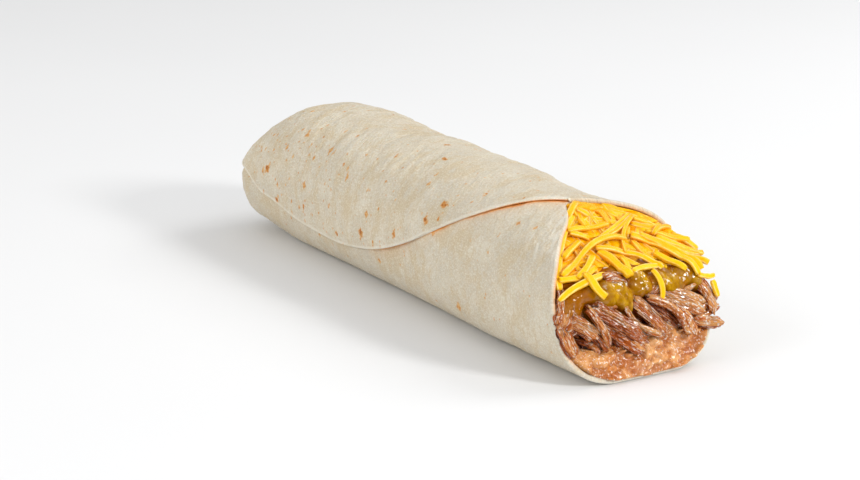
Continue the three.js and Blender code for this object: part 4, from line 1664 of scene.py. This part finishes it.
@dataclass
class GreenChileSauce(Bed):
    """Wet pools of sauce with diced chile, draped over the meat and under the cheese."""

    columns: int = 260
    rows: int = 96
    low: float = 17.0
    high: float = 35.0
    sunk: float = -3.2
    melt: float = 0.7
    dice: int = 18
    # Pools: across and height, half width, half height, turn, how far out.
    pools: Table = (
        (-23.6, 25.2, 7.4, 5.2, 0.35, 2.8), (-16, 27.4, 5, 3.4, 0.1, 2.4),
        (-10, 26.6, 5.4, 4.2, 0.2, 3), (-5.6, 25.4, 3.8, 4.4, 0, 3.4),
        (-3.8, 22.4, 1.4, 3.4, -0.2, 3.5), (1, 27.8, 5.4, 4.4, 0.3, 3),
        (4.6, 27.6, 3.2, 3.2, 0, 2.6), (10, 28, 5, 3.8, 0, 3),
        (14.6, 26.4, 5, 5, 0.1, 3.5), (20.2, 27.8, 5.4, 3.8, -0.1, 3),
        (25.8, 27.4, 4.6, 5.6, 0, 3.3), (-1, 31, 28, 3, 0, 1),
    )

    def height(self, across: Array, z: Array) -> Array:
        """Return how far out the sauce stands over the front, far in where there is none.

        Args:
            across: Across the roll.
            z: Height over the table.

        Returns:
            One height for each place.
        """
        places = three(across, z)
        bent = across + 0.8 * Lumps(61).at(places, 4.6, 4.2) + 0.12 * Lumps(62).at(places, 1.9, 1.7)
        lifted = z + 0.8 * Lumps(63).at(places, 4.6, 4.2) + 0.12 * Lumps(64).at(places, 1.9, 1.7)
        total = np.full(places.shape[:-1], self.sunk)
        for at, level, wide, tall, turn, rise in self.pools:
            cos, sin = math.cos(turn), math.sin(turn)
            u = (cos * (bent - at) + sin * (lifted - level)) / wide
            v = (cos * (lifted - level) - sin * (bent - at)) / tall
            dome = np.maximum(0, 1 - u**2 - v**2) ** 0.4
            total = self.melt * np.logaddexp(total / self.melt, lerp(self.sunk, rise, dome) / self.melt)
        draw = np.random.default_rng(65)
        inside = smooth((total + 1) / 1.6)
        bumps = 0 * total
        for index in range(self.dice):
            at, level, wide, tall, _, _ = self.pools[index % (len(self.pools) - 1)]
            middle = at + draw.uniform(-0.8, 0.8) * wide, level + draw.uniform(-0.8, 0.8) * tall
            size, turn, rise = draw.uniform(1.4, 2.6), draw.uniform(0, 3), draw.uniform(0.3, 0.7)
            u = math.cos(turn) * (across - middle[0]) + math.sin(turn) * (z - middle[1])
            v = math.cos(turn) * (z - middle[1]) - math.sin(turn) * (across - middle[0])
            square = (np.abs(u / size) ** 3 + np.abs(v / size / 0.75) ** 3) ** (1 / 3)
            bumps = np.maximum(bumps, rise * smooth((1.3 - square) / 0.5))
        ripples = 0.2 * Lumps(66).at(places, 2.4, 2) + 0.1 * Lumps(68).at(places, 1.1, 0.9)
        return total + inside * bumps + smooth((total - 1.4) / 1.4) * ripples

    def tucked(self, out: Array, z: Array) -> Array:
        """Press the sauce back where the cheese lies on it."""
        return np.minimum(out, lerp(5, 0.4, smooth((z - 28.5) / 5)))

    def height_over(self, across: Array, down: Array) -> Array:
        """Return how far out the sauce stands, by how far down the heap."""
        z = np.interp(down, self.end.downs, self.end.zs)
        return np.where(down > 24, self.tucked(self.height(across, z), z), self.sunk)

    def build(self) -> Body:
        """Build the sauce: a sheet draped over the front, and its layer through the roll.

        Returns:
            The body.
        """
        levels = lambda y: 0 * y + self.low, lambda y: 0 * y + self.high
        across, z = self.grid(*levels, self.columns, self.rows)
        raised = self.height(across, z)
        out = lerp(self.sunk, self.tucked(raised, z), edge_ease(across.shape, 6))
        down = np.interp(-z, -self.end.zs, self.end.downs)
        back = self.end.heap(across, down, self.sunk - 0.5)
        points, faces = closed_sheet(self.end.heap(across, down, out), back)
        soft = Lumps(67).at(three(across, z), 3, 2.6)
        patchy = smooth((Lumps(69).at(three(across, z), 2.6, 1.8) - 0.1) / 0.5)
        looks = {
            # light: paler where the sauce stands out further, as painted light on raised tops, with random
            # lumps.
            "light": np.clip(0.5 + 0.3 * (raised - 2.4) + 0.25 * soft, 0, 1),
            "browned": smooth((-14 - across) / 6),
            # wet: where the painted glints lie, on the upper sauce.
            "wet": patchy * smooth((z - 25.6) / 2.4) * smooth((across + 15) / 4),
        }
        twice = {name: np.tile(value.ravel(), 2) for name, value in looks.items()}
        body = Body().add(points, faces, paste_place=points, **twice)
        across, z = self.grid(lambda y: meat_top(y) + 0.1, sauce_top, 60, 12)
        ease = edge_ease(across.shape, 3)
        points, faces = self.through(self.end.front(across, z, -2.2 - 0.6 * (1 - ease)))
        none = np.zeros(len(points))
        return body.add(points, faces, paste_place=points, **dict.fromkeys(looks, none))


def closed_sheet(front: Array, back: Array) -> Mesh:
    """Join two grids of points round their outline into one closed body.

    Args:
        front: The points of the face that shows, by row and by column.
        back: The points behind them.

    Returns:
        The points and the blocks of faces.
    """
    quads, ring = patch(*front.shape[:2])
    deep = front[..., 0].size
    points = np.concatenate([front.reshape(-1, 3), back.reshape(-1, 3)])
    return points, [quads, quads[:, ::-1] + deep, join(ring, ring + deep)]


# --- Cheese ---


@dataclass
class HeapHeights:
    """How high the heap stands, over its slope, while shreds are laid on it."""

    sauce: GreenChileSauce
    cell: float = 0.4
    limpness: float = 0.035
    give: float = 0.7
    low: tuple[float, float] = (-36.0, -12.0)
    high: tuple[float, float] = (38.0, 56.0)

    def __post_init__(self) -> None:
        """Start with the bare bed and the sauce."""
        across = np.arange(self.low[0], self.high[0], self.cell)
        down = np.arange(self.low[1], self.high[1], self.cell)
        self.shape = (len(across), len(down))
        grid_across, grid_down = np.meshgrid(across, down, indexing="ij")
        lip = smooth((grid_down - 31) / 4)
        bed = -3.2 + 3 * lip + 0.3 * np.sin(grid_across * 0.4) + 0 * grid_down
        self.heights = np.maximum(bed, self.sauce.height_over(grid_across, grid_down))

    def cells(self, places: Array, reach: float) -> Pair:
        """Find the cells near places.

        Args:
            places: Across and down.
            reach: How near.

        Returns:
            The cells' numbers across and down, one row for each place.
        """
        steps = np.arange(-math.ceil(reach / self.cell), math.ceil(reach / self.cell) + 1)
        di, dj = (a.ravel() for a in np.meshgrid(steps, steps, indexing="ij"))
        inside = np.hypot(di, dj) * self.cell <= reach + 1e-6
        index = np.round((places - np.array(self.low)) / self.cell).astype(int)
        i = np.clip(index[:, :1] + di[inside][None], 0, self.shape[0] - 1)
        j = np.clip(index[:, 1:] + dj[inside][None], 0, self.shape[1] - 1)
        return i, j

    def lay(self, places: Array, width: float, thickness: float, ceiling: Array | float) -> Array:
        """Lay a shred on the heap and return the height of its middle line.

        Args:
            places: Across and down, along the shred.
            width: The shred's width.
            thickness: Its thickness.
            ceiling: The height that the pressed heap hardly passes.

        Returns:
            One height for each place.
        """
        i, j = self.cells(places, width * 0.5)
        needed = self.heights[i, j].max(axis=1) + thickness / 2
        run = running(np.linalg.norm(np.diff(places, axis=0), axis=1))
        gaps = (run[:, None] - run[None, :]) ** 2
        heights = (needed[None, :] - self.limpness * gaps).max(axis=1)
        for _ in range(2):
            eased = np.convolve(np.pad(heights, 1, mode="edge"), [0.25, 0.5, 0.25], "valid")
            heights = np.maximum(eased, needed - 0.15)
        heights = ceiling - self.give * np.logaddexp(0, (ceiling - heights) / self.give)
        top = np.broadcast_to((heights + thickness / 2)[:, None], i.shape)
        np.maximum.at(self.heights, (i, j), top)
        return heights


@dataclass
class ShreddedCheese(Bed):
    """Grated cheese heaped on the filling: a packed bed under many single shreds."""

    loose: int = 165
    seed: int = 41
    # Shreds laid last, in order: across and down at the start, the middle and the end, then width.
    shown: Table = (
        (4, -3, 9, -1.5, 14, 2, 1.9), (10, -1, 15, 2.5, 20, 6.5, 2),
        (9, 0.5, 15, 5, 20, 9.5, 2.1), (16, 3, 21, 7, 25, 11.5, 2),
        (15, 5, 20.5, 10, 25, 15, 2.1), (21, 8, 25.5, 12.5, 29, 17.5, 2),
        (20, 11, 25, 15.5, 29, 20, 2.1), (25, 15.5, 29.5, 21, 31.5, 26, 2.1),
        (0.5, -2.5, 5, -1.5, 10, 1, 2), (9.5, -0.5, 10, 4, 11.5, 6.5, 1.8),
        (16, 8.5, 20.5, 11, 25.5, 12.5, 1.9), (14, 10.5, 19, 13, 23.5, 15, 1.9),
        (0, -3, 5.5, 0.5, 6.5, 9, 2), (0.5, -3, -14, 11.5, -24.5, 28, 2),
        (-1.5, 1, 0, 3, 1, 4.5, 1.9), (-5, 3.5, -18.5, 17.5, -26, 33.5, 2),
        (17.5, 15, 24.5, 18.5, 31, 22, 1.9), (22.5, 22, 26.5, 27, 32.5, 28.5, 1.8),
        (21.5, 26, 26, 30, 30.5, 33.5, 1.8), (19.5, 18, 26, 24.5, 32, 29, 1.9),
        (10, 18, 11, 25.5, 12, 29.5, 1.9), (15, 24.5, 17, 29.5, 20.5, 34, 2),
        (-10.5, 10.5, -8, 11.5, -4.5, 13.5, 1.8), (-9, 14.5, -14.5, 17.5, -19, 20.5, 1.9),
        (-11, 9.5, -2.5, 9.5, 5.5, 9.5, 1.6), (-3.5, 5.5, -3.5, 7, -3.5, 9, 1.8),
        (1.5, 24.5, 1, 28.5, 0, 32.5, 2), (-5, 20, -2.5, 25.5, -2, 33, 2.6),
        (-10, 26.5, -19, 30, -25, 30.5, 1.9), (24.5, 36, 28, 37, 31.5, 37, 1.6),
        (29.5, 38.5, 30, 41, 31, 44, 1.9), (10.5, 16, 19.5, 24, 24.5, 36, 2.2),
        (13.5, 16.5, 21.5, 25.5, 26, 35, 2.2), (0, 32, 5.5, 31, 11, 31.5, 1.7),
        (7.5, 32.5, 9, 36.5, 8.5, 41.5, 1.6), (-8, 21.5, -13, 26, -19, 30.5, 2),
        (-8.5, 30, -19, 33, -28, 36.5, 2), (16, 6.5, 6, 11.5, -1, 14.5, 1.5),
        (16, 8, 7.5, 12.5, 0, 15, 1.4), (-5.5, 19, 6, 24, 11.5, 32.5, 1.9),
        (-16, 29.5, -16, 33.5, -13.5, 37, 2.2), (15, 9, 8, 15, 4, 23, 1.2),
        (7.5, 17.5, -5, 17, -23.5, 29, 1.8), (18.5, 17.5, 24, 14.5, 28, 15, 1.8),
    )

    def reach(self, down: Array) -> Pair:
        """Return how far across the heap goes to each side, by how far down the slope."""
        z = np.interp(down, self.end.downs, self.end.zs)
        return self.roll.wall_across(np.clip(z, 20, 46.5), 0.8)

    def bed(self) -> Body:
        """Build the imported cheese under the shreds.

        Returns:
            The body.
        """
        across, z = self.grid(lambda y: sauce_top(y) + 0.1, lambda y: 0 * y + 47.6, 120, 90)
        down = np.interp(-z, -self.end.zs, self.end.downs)
        ridges = Lumps(31).at(three(across, down), 4, 1.6)
        lumps = Lumps(32).at(three(across, down) + 30, 2, 3.5)
        height = 0.1 + 0.8 * ridges + 0.5 * lumps
        face = self.end.heap(across, down, height * 0)
        face[..., 0] += height * 1.3 - 1
        face[..., 2] = z
        points, faces = self.through(face)
        # Painted shade: the bed sits at a low tone, deeper orange, under the shreds, lighter where its
        # ridges stand out.
        tone = np.full(len(points), 0.3)
        tone[: ridges.size] += 0.35 * ridges.ravel()
        looks = {"tone": np.clip(tone, 0, 1), "edge": np.zeros(len(points))}
        return Body().add(points, faces, shred_place=points, **looks)

    def shred(
        self, body: Body, heap: HeapHeights, line: Array, width: float, ceiling: float, draw: Draw
    ) -> None:
        """Lay one shred on the heap and add it to a body.

        Args:
            body: The body of shreds.
            heap: The heap so far.
            line: Across and down at the shred's start, middle and end.
            width: Its width.
            ceiling: How high it may lie.
            draw: The random draws.
        """
        cut = Cut.FLAT if draw.uniform() < 0.45 else Cut.SQUARE
        thickness = width * cut.value
        length = np.linalg.norm(line[1] - line[0]) + np.linalg.norm(line[2] - line[1])
        f = np.linspace(0, 1, max(9, int(length / 0.8)))
        flat, _ = quadratic(line, f)
        over_lip = 2.6 * smooth((flat[:, 1] - 29) / 5)
        right = self.reach(flat[:, 1])[1]
        sunk = 1.8 * smooth((flat[:, 0] - right + 6) / 5) * smooth((24 - flat[:, 1]) / 8)
        heights = heap.lay(flat, width, thickness, ceiling + over_lip - sunk)
        wobble = draw.normal(0, 0.12, 3)
        heights = heights + wobble[0] * np.sin(f * 7 + wobble[1] * 9)
        centre = self.end.heap(flat[:, 0], flat[:, 1], heights)
        facing = self.end.heap_facing(flat[:, 1])
        ends = np.minimum(f, 1 - f) * length
        scale = lerp(draw.uniform(0.6, 0.95), 1, smooth(ends / draw.uniform(0.4, 1.4)))
        scale = scale * (1 + 0.08 * np.sin(f * draw.uniform(4, 12) + draw.uniform(0, 6)))
        twist = draw.uniform(-0.3, 0.3) + draw.uniform(-0.9, 0.9) * (f - 0.5)
        section, edge = cut_section(width, thickness)
        points, faces, place = Strand(centre, facing, section, scale, twist).mesh(draw.uniform(0, 9))
        # Painted shade and light: shreds lying lower get a deeper orange tone, those higher up a lighter
        # one, and each shred is lighter on its upper half, over a random tone.
        level = draw.uniform(0.1, 0.7) + 0.35 * smooth((heights - ceiling + 0.6) / 1.2)
        level = level + 0.4 * smooth((heights + 2.5) / 3.5) - 0.3
        tone = level[:, None] + 0.3 * section[None, :, 1] / thickness
        tone = np.clip(np.concatenate([level[:1], tone.ravel(), level[-1:]]), 0, 1)
        # How strongly each shred carries its painted edge highlights.
        edge_highlight_strength = 0.2 + 0.8 * ((body.count * GOLDEN) % 1)
        edges = edge_highlight_strength * np.concatenate([[0.3], np.tile(edge, len(flat)), [0.3]])
        body.add(points, faces, shred_place=place, tone=tone, edge=edges)

    def shreds(self, sauce: GreenChileSauce) -> Body:
        """Build the single shreds: loose ones first, then those that lie on top.

        Args:
            sauce: The sauce that they lie on.

        Returns:
            The body.
        """
        draw = np.random.default_rng(self.seed)
        heap = HeapHeights(sauce)
        body = Body()
        for index in range(self.loose):
            down = lerp(-2, 29, ((index * GOLDEN) % 1)) + draw.uniform(-1, 1)
            left, right = self.reach(np.array([down]))
            across = lerp(left[0] + 1.5, right[0] + 1.5, draw.uniform())
            heading = across * 0.025 + draw.uniform(-1.25, 1.25)
            half = draw.uniform(3.5, 9.5)
            step = np.array([math.sin(heading), math.cos(heading)]) * half
            middle = np.array([across, down])
            bow = np.array([step[1], -step[0]]) * draw.uniform(-0.22, 0.22)
            line = np.array([middle - step, middle + bow, middle + step])
            for place in line:
                low, high = self.reach(place[1:])
                place[0] = min(max(place[0], low[0] + 0.6), high[0] + 1.8)
            line[:, 1] = np.clip(line[:, 1], -3, draw.uniform(29, 31.5))
            if np.linalg.norm(line[2] - line[0]) < 4:
                continue
            self.shred(body, heap, line, draw.uniform(1.5, 2.3), draw.uniform(-1.8, 0), draw)
        for index, (*line, width) in enumerate(self.shown):
            ceiling = lerp(0.3, 2.2, index / len(self.shown))
            self.shred(body, heap, np.array(line).reshape(3, 2), width * 1.08, ceiling, draw)
        return body


# --- Meat ---


@dataclass(frozen=True)
class TornPiece:
    """One torn piece of meat: its middle line over the front, its size and its looks."""

    across: Triple
    height: Triple
    out: Triple
    width: float
    thickness: float
    tone: float
    pink: float
    squareness: float = 2.4
    flare: float = 1.0


@dataclass
class ShreddedMeat(Bed):
    """Pulled meat: a bed at the darkest tone as painted shade between the pieces, and torn pieces with
    grooves along their fibres.
    """

    seed: int = 77
    filler: int = 64
    ragged: float = 0.9
    # The torn pieces in the order that they are laid, each with a TornPiece's values.
    torn: tuple[tuple, ...] = (
        ((-10.5, -6.5, -2), (31.2, 31, 29.2), (0.4, 0.8, 0.4), 4.4, 3, 0.6, 0.3),
        ((4, 8, 12), (24, 25.5, 27), (0.6, 1.2, 0.6), 4, 2.8, 0.6, 0.7),
        ((-16, -11.5, -7), (25.5, 24.6, 23), (0.4, 1.2, 0.4), 4.4, 3, 0.5, 0.9),
        ((4.5, 9, 14.5), (23, 18.5, 14), (-0.6, 0.2, -0.6), 4.6, 3, 0.12, 0.9),
        ((-18, -16.5, -14), (18.5, 15, 11.5), (0.2, 1, 0.4), 2.6, 2.4, 0.3, 0.4),
        ((-27.5, -27, -25), (19.5, 15, 10.5), (0, 0.9, 0.5), 4.8, 3.2, 0.55, 0.1, 2.8),
        ((-23, -24.2, -27.2), (29, 23, 18), (0, 1.2, 0.8), 9, 3.4, 0.6, 0.9, 2.8),
        ((-25, -21.5, -18.3), (20.6, 18.2, 15), (0.2, 2, 1.8), 5, 4, 0.7, 0.1, 4),
        ((-18.4, -16, -13.8), (23.4, 17.5, 12), (1.4, 3, 2.2), 2.5, 2.2, 0.75, 0.3, 2.2),
        ((-15, -9, -2), (19, 14.4, 9), (0.2, 1.4, 1.8), 5, 3.6, 0.5, 0.2),
        ((-15.5, -9, -0.2), (22.8, 17.6, 11.8), (0.6, 2.6, 1.6), 6.4, 4.6, 0.42, 1),
        ((-1.5, 3.5, 8.4), (24, 17.8, 12.6), (0.8, 2.2, 1.4), 5.2, 3.8, 0.65, 0.6, 2.6),
        ((-5.2, -3.2, 6.4), (22.6, 16.6, 11.8), (2.4, 3.8, 3), 1.9, 1.6, 0.85, 0.2, 2),
        ((11, 17, 24.6), (24, 21.2, 17), (0.8, 2.2, 2), 6.4, 3, 0.85, 0.7, 3.4),
        ((4.2, 13.6, 18.2), (23.6, 18.4, 10.4), (1.4, 3, 2.6), 2.8, 2.4, 0.8, 0.6, 2.2, 1.7),
        ((21.5, 27.5, 31), (16, 18.2, 20), (0.6, 1.4, 1.6), 3.4, 2.6, 0.55, 0),
        ((25, 27.6, 28.6), (26.5, 21.5, 15.5), (0.8, 2.2, 2), 4.2, 3.2, 0.55, 0),
        ((22, 27, 31), (14.6, 15.4, 16.8), (1, 1.8, 1.8), 2.3, 2, 0.7, 0),
        ((20, 25, 29.6), (15, 12.9, 11.8), (1, 2.4, 3.4), 4, 3.4, 0.6, 0, 2.8),
        ((17, 20, 23.2), (23.4, 24, 24.4), (2.4, 3, 2.4), 1.5, 1.3, 1, 0.6),
    )

    def bed(self) -> Body:
        """Build the meat behind the torn pieces, at the darkest tone as painted shade in the gaps.

        Returns:
            The body.
        """
        across, z = self.grid(lambda y: bean_top(y) + 0.1, meat_top, 130, 40)
        leaning = three(across - 0.9 * (20 - z), z)
        relief = 0.9 * Lumps(51).at(leaning, 2.2, 9) + 0.5 * Lumps(52).at(leaning + 50, 1.1, 6)
        ease = edge_ease(across.shape, 5)
        points, faces = self.through(self.end.front(across, z, -2.6 + relief * ease - 0.6 * (1 - ease)))
        none = np.zeros(len(points))
        # Tone none keeps the bed dark: painted shade seen between the pieces.
        return Body().add(points, faces, shred_place=points[:, [2, 1, 0]], tone=none, pink=none + 0.3)

    def tear(self, body: Body, piece: TornPiece, draw: Draw) -> None:
        """Add one torn piece, grooved along its fibres and ragged at both ends.

        Args:
            body: The body of torn pieces.
            piece: The piece.
            draw: The random draws.
        """
        ends = self.end.front(piece.across, piece.height, piece.out)
        length = float(np.linalg.norm(np.diff(ends, axis=0), axis=1).sum())
        width, thickness = piece.width / 2, piece.thickness / 2
        columns = int(np.clip(3.4 * (width + thickness) / 0.34, 14, 48))
        rows = int(np.clip(length * 2.3, 12, 44))
        angle = np.linspace(0, 2 * math.pi, columns, endpoint=False)
        power = 2 / piece.squareness
        cos, sin = np.cos(angle), np.sin(angle)
        u, v = bowed(cos, power) * width, bowed(sin, power) * thickness
        normal = unit(np.stack([bowed(cos, 2 - power) / width, bowed(sin, 2 - power) / thickness], axis=-1))
        seed = draw.uniform(0, 90)
        torn = Lumps(53).at(three(u + seed, v, 0), 0.8, 0.8)
        torn_far = Lumps(54).at(three(u + seed, v, 9), 0.8, 0.8)
        ragged = min(self.ragged, 0.16 * length) / length
        f = np.linspace(0, 1, rows)[:, None]
        share = lerp(ragged * torn, 1 - ragged * torn_far, f)
        run = share * length
        centre, along = quadratic(ends, share)
        facing = unit(np.array([1, 0, self.end.lean]))
        side, up = beside(along, np.broadcast_to(facing, along.shape))
        near_end = 1 - smooth(np.minimum(f, 1 - f) * length / (0.8 + 0.28 * piece.width))
        wave = Lumps(55).at(three(run, seed), 3.6)
        swell = (1 - 0.16 * near_end) * lerp(1, piece.flare, share) * (1 + 0.13 * wave)
        fibre = three(run + seed * 7, u + seed, v + 2 * seed)
        bundles = np.abs(Lumps(56).at(fibre, 9, 1.5, 1.5))
        threads = np.abs(Lumps(57).at(fibre, 3.6, 0.6, 0.6))
        groove = np.exp(-((bundles / 0.17) ** 2))
        depth = 0.26 * groove + 0.16 * np.exp(-((threads / 0.22) ** 2)) - 0.16 * bundles
        depth = depth * (1 + 0.8 * near_end) * min(1, 0.45 + 0.14 * piece.width)
        first = (u - normal[:, 0] * depth) * swell
        second = (v - normal[:, 1] * depth) * swell - 0.12 * thickness * (u / width) ** 2 + 0.22 * wave
        twist = draw.uniform(-0.35, 0.35) * (share - 0.5) * 2
        cos, sin = np.cos(twist), np.sin(twist)
        first, second = first * cos - second * sin, first * sin + second * cos
        loops = centre + side * first[..., None] + up * second[..., None]
        tips, _ = quadratic(ends, np.array([0.02, 0.98]))
        points, faces = loft(loops, tips[0], tips[1])
        streak = Lumps(58).at(fibre, 13, 1.3, 1.3)
        # Painted light and shade: the tone mixes random streaks with painted light on faces turned upward
        # and painted shade in the grooves.
        outward = side * normal[:, :1] + up * normal[:, 1:]
        lit = 0.3 * (outward @ np.array([0.3, 0.3, 0.9]))
        tone = np.clip(piece.tone + 0.22 * streak - 0.26 * groove + lit - 0.1, 0, 1)
        pink = np.clip(piece.pink + 0.25 * Lumps(59).at(fibre, 5, 3, 3), 0, 1)
        place = np.concatenate([fibre[:1, 0], fibre.reshape(-1, 3), fibre[-1:, 0]])
        tone = np.pad(tone.ravel(), 1, constant_values=0.1)
        pink = np.pad(pink.ravel(), 1, constant_values=0.2)
        body.add(points, faces, shred_place=place, tone=tone, pink=pink)

    def peel(self, body: Body, piece: TornPiece, draw: Draw) -> None:
        """Add one thin fibre that peels off a torn piece.

        Args:
            body: The body of torn pieces.
            piece: The piece.
            draw: The random draws.
        """
        ends = self.end.front(piece.across, piece.height, piece.out)
        low = draw.uniform(0, 0.6)
        f = np.linspace(0, 1, 12)
        centre, along = quadratic(ends, lerp(low, low + draw.uniform(0.3, 0.5), f))
        facing = np.tile(unit(np.array([1, 0, self.end.lean])), (len(f), 1))
        side, up = beside(along, facing)
        turn = draw.uniform(0.2, math.pi - 0.2)
        off = f**2 * draw.uniform(0.1, 0.9)
        u = math.cos(turn) * piece.width / 2 + off * draw.normal(0, 1)
        v = math.sin(turn) * piece.thickness / 2 + off * 0.8
        line = centre + side * u[:, None] + up * v[:, None]
        angle = np.linspace(0, 2 * math.pi, 6, endpoint=False)
        section = np.stack([np.cos(angle), 0.7 * np.sin(angle)], axis=-1) * draw.uniform(0.15, 0.38)
        strand = Strand(line, facing, section, 1 - 0.7 * f**2, 0 * f)
        points, faces, place = strand.mesh(draw.uniform(0, 9))
        tone = np.full(len(points), min(1.0, piece.tone + draw.uniform(-0.1, 0.35)))
        body.add(points, faces, shred_place=place, tone=tone, pink=np.full(len(points), piece.pink))

    def pieces(self) -> Body:
        """Build the torn pieces with smaller shreds between and behind them.

        Returns:
            The body.
        """
        draw = np.random.default_rng(self.seed)
        body = Body()
        for _ in range(self.filler):
            across, half, lean = draw.uniform(-26, 27), draw.uniform(2, 4.6), draw.uniform(0.1, 1.5)
            floor = float(bean_top(np.array(across)))
            z = draw.uniform(floor, 25)
            dy, dz = math.sin(lean) * half, math.cos(lean) * half
            bow = draw.normal(0, 0.6)
            out = draw.uniform(-2.2, -0.4)
            piece = TornPiece(
                (max(across - dy, -27), across + bow, min(across + dy, 28)),
                (min(z + dz, 26), z + bow, max(z - dz, floor - 1.5)),
                (out - 0.8, out + 0.4, out - 0.4),
                draw.uniform(1.2, 3.4),
                draw.uniform(1.1, 2.4),
                tone=draw.uniform(0.05, 0.6),
                pink=draw.uniform(0, 0.8),
            )
            self.tear(body, piece, draw)
        for row in self.torn:
            piece = TornPiece(*row)
            self.tear(body, piece, draw)
            for _ in range(2 + int(piece.width)):
                self.peel(body, piece, draw)
        return body


# --- Studio ---


@dataclass
class Studio:
    """The floor, the lights and the camera."""

    shift: Array
    camera_at: Triple = (652.264, -417.343, 239.648)
    look_at: Triple = (17.342, -20.855, 25.0)
    lens: float = 94.24
    sensor: float = 36.0
    turn: float = 58.0165
    lit_at: Triple = (0.02, 0.0, 0.02)
    floor_half: float = 2.5
    floor_drop: float = 0.0002
    sky: tuple[float, float] = (0.27, 0.75)

    def floor(self) -> None:
        """Lay the pale floor."""
        h, down = self.floor_half, -self.floor_drop
        mesh = bpy.data.meshes.new("floor")
        mesh.from_pydata([(-h, -h, down), (h, -h, down), (h, h, down), (-h, h, down)], [], [(0, 1, 2, 3)])
        floor = bpy.data.objects.new("floor", mesh)
        bpy.context.scene.collection.objects.link(floor)
        material, sketch, shader = new_material("pale_floor")
        place = sketch.add("ShaderNodeTexCoord", {}).outputs["Object"]
        tone = sketch.noise(place, 6, 2)
        colour = sketch.blend(tone, (0.795, 0.797, 0.8, 1), (0.815, 0.817, 0.82, 1))
        sketch.feed(shader.inputs["Base Color"], colour)
        sketch.feed(shader.inputs["Roughness"], 0.9)
        mesh.materials.append(material)

    def light(self, name: str, place: Triple, size: float, power: float) -> None:
        """Hang a soft square light that faces the roll.

        Args:
            name: The light's name.
            place: Where it hangs, in metres: right, ahead and up, as the camera sees it.
            size: Its side, in metres.
            power: Its power, in watts.
        """
        turn = math.radians(self.turn)
        right = Vector((math.cos(turn), math.sin(turn), 0))
        ahead = Vector((-math.sin(turn), math.cos(turn), 0))
        lamp = bpy.data.lights.new(name, "AREA")
        lamp.size = size
        lamp.energy = power
        hung = bpy.data.objects.new(name, lamp)
        hung.location = right * place[0] + ahead * place[1] + Vector((0, 0, place[2]))
        down = Vector(self.lit_at) - hung.location
        hung.rotation_euler = down.to_track_quat("-Z", "Y").to_euler()
        bpy.context.scene.collection.objects.link(hung)

    def camera(self) -> None:
        """Set up the camera."""
        data = bpy.data.cameras.new("camera")
        data.lens = self.lens
        data.sensor_width = self.sensor
        data.clip_start = 0.01
        camera = bpy.data.objects.new("camera", data)
        place = Vector((np.array(self.camera_at) + self.shift) * MILLIMETRE)
        target = Vector((np.array(self.look_at) + self.shift) * MILLIMETRE)
        camera.location = place
        camera.rotation_euler = (target - place).to_track_quat("-Z", "Y").to_euler()
        bpy.context.scene.collection.objects.link(camera)
        bpy.context.scene.camera = camera

    def build(self) -> None:
        """Build the studio."""
        self.floor()
        self.light("key", (0.85, 0.4, 0.9), 0.6, 5)
        self.light("fill", (-1.15, -0.6, 0.55), 1.1, 9)
        self.light("spark", (1, -0.68, 0.62), 0.24, 9.5)
        self.camera()
        world = bpy.data.worlds.new("studio")
        world.use_nodes = True
        back = world.node_tree.nodes["Background"]
        back.inputs["Color"].default_value = (1, 1, 1, 1)
        sketch = Sketch(world.node_tree)
        facing = sketch.add("ShaderNodeTexCoord", {}).outputs["Generated"]
        parts = sketch.add("ShaderNodeSeparateXYZ", {0: facing})
        sketch.feed(back.inputs["Strength"], sketch.band(parts.outputs["Z"], -0.2, 0.9, self.sky))
        bpy.context.scene.world = world
        bpy.context.scene.view_settings.view_transform = "Standard"


# --- Assembly ---


def settle(piece: bpy.types.Object, layer: Layer, material: bpy.types.Material) -> None:
    """Dress a piece and let it stand for its layer of the frame.

    Args:
        piece: The piece.
        layer: The layer it stands for.
        material: Its finish.
    """
    piece.data.materials.clear()
    piece.data.materials.append(material)
    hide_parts(layer.value)
    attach(piece, "root")
    LOG.info("%s: %d points, %d faces", piece.name, len(piece.data.vertices), len(piece.data.polygons))


def corners(box: tuple[Vector, Vector]) -> list[list[float]]:
    """Return a box as plain lists."""
    return [list(box[0]), list(box[1])]


def main() -> None:
    """Build the burrito's pieces in order, then the studio."""
    logging.basicConfig(level=logging.INFO, format="%(name)s %(message)s")
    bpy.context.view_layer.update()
    roll = Roll()
    end = OpenEnd()
    effects = Effects()

    sheet = Tortilla(roll)
    wrap = sheet.build()
    shift = sheet.shift_to_frame(wrap)
    LOG.info("shift %s", np.round(shift, 3))
    settle(wrap.build("rolled_tortilla", shift), Layer.TORTILLA, FlourDough(effects).material)

    beans = RefriedBeans(roll, end).build()
    settle(beans.build("refried_bean_paste", shift), Layer.BEANS, BeanPaste(effects).material)

    meat = ShreddedMeat(roll, end)
    meat_finish = PulledMeat(effects).material
    settle(meat.bed().build("meat_bed", shift), Layer.MEAT, meat_finish)
    settle(meat.pieces().build("torn_meat", shift), Layer.MEAT, meat_finish)

    sauce = GreenChileSauce(roll, end)
    settle(sauce.build().build("green_chile_sauce_pools", shift), Layer.SAUCE, ChileGlaze(effects).material)

    cheese = ShreddedCheese(roll, end)
    cheese_finish = GratedCheese(effects).material
    settle(cheese.bed().build("cheese_bed", shift), Layer.CHEESE, cheese_finish)
    settle(cheese.shreds(sauce).build("cheese_shreds", shift), Layer.CHEESE, cheese_finish)

    Studio(shift).build()


if __name__ == "__main__":
    main()
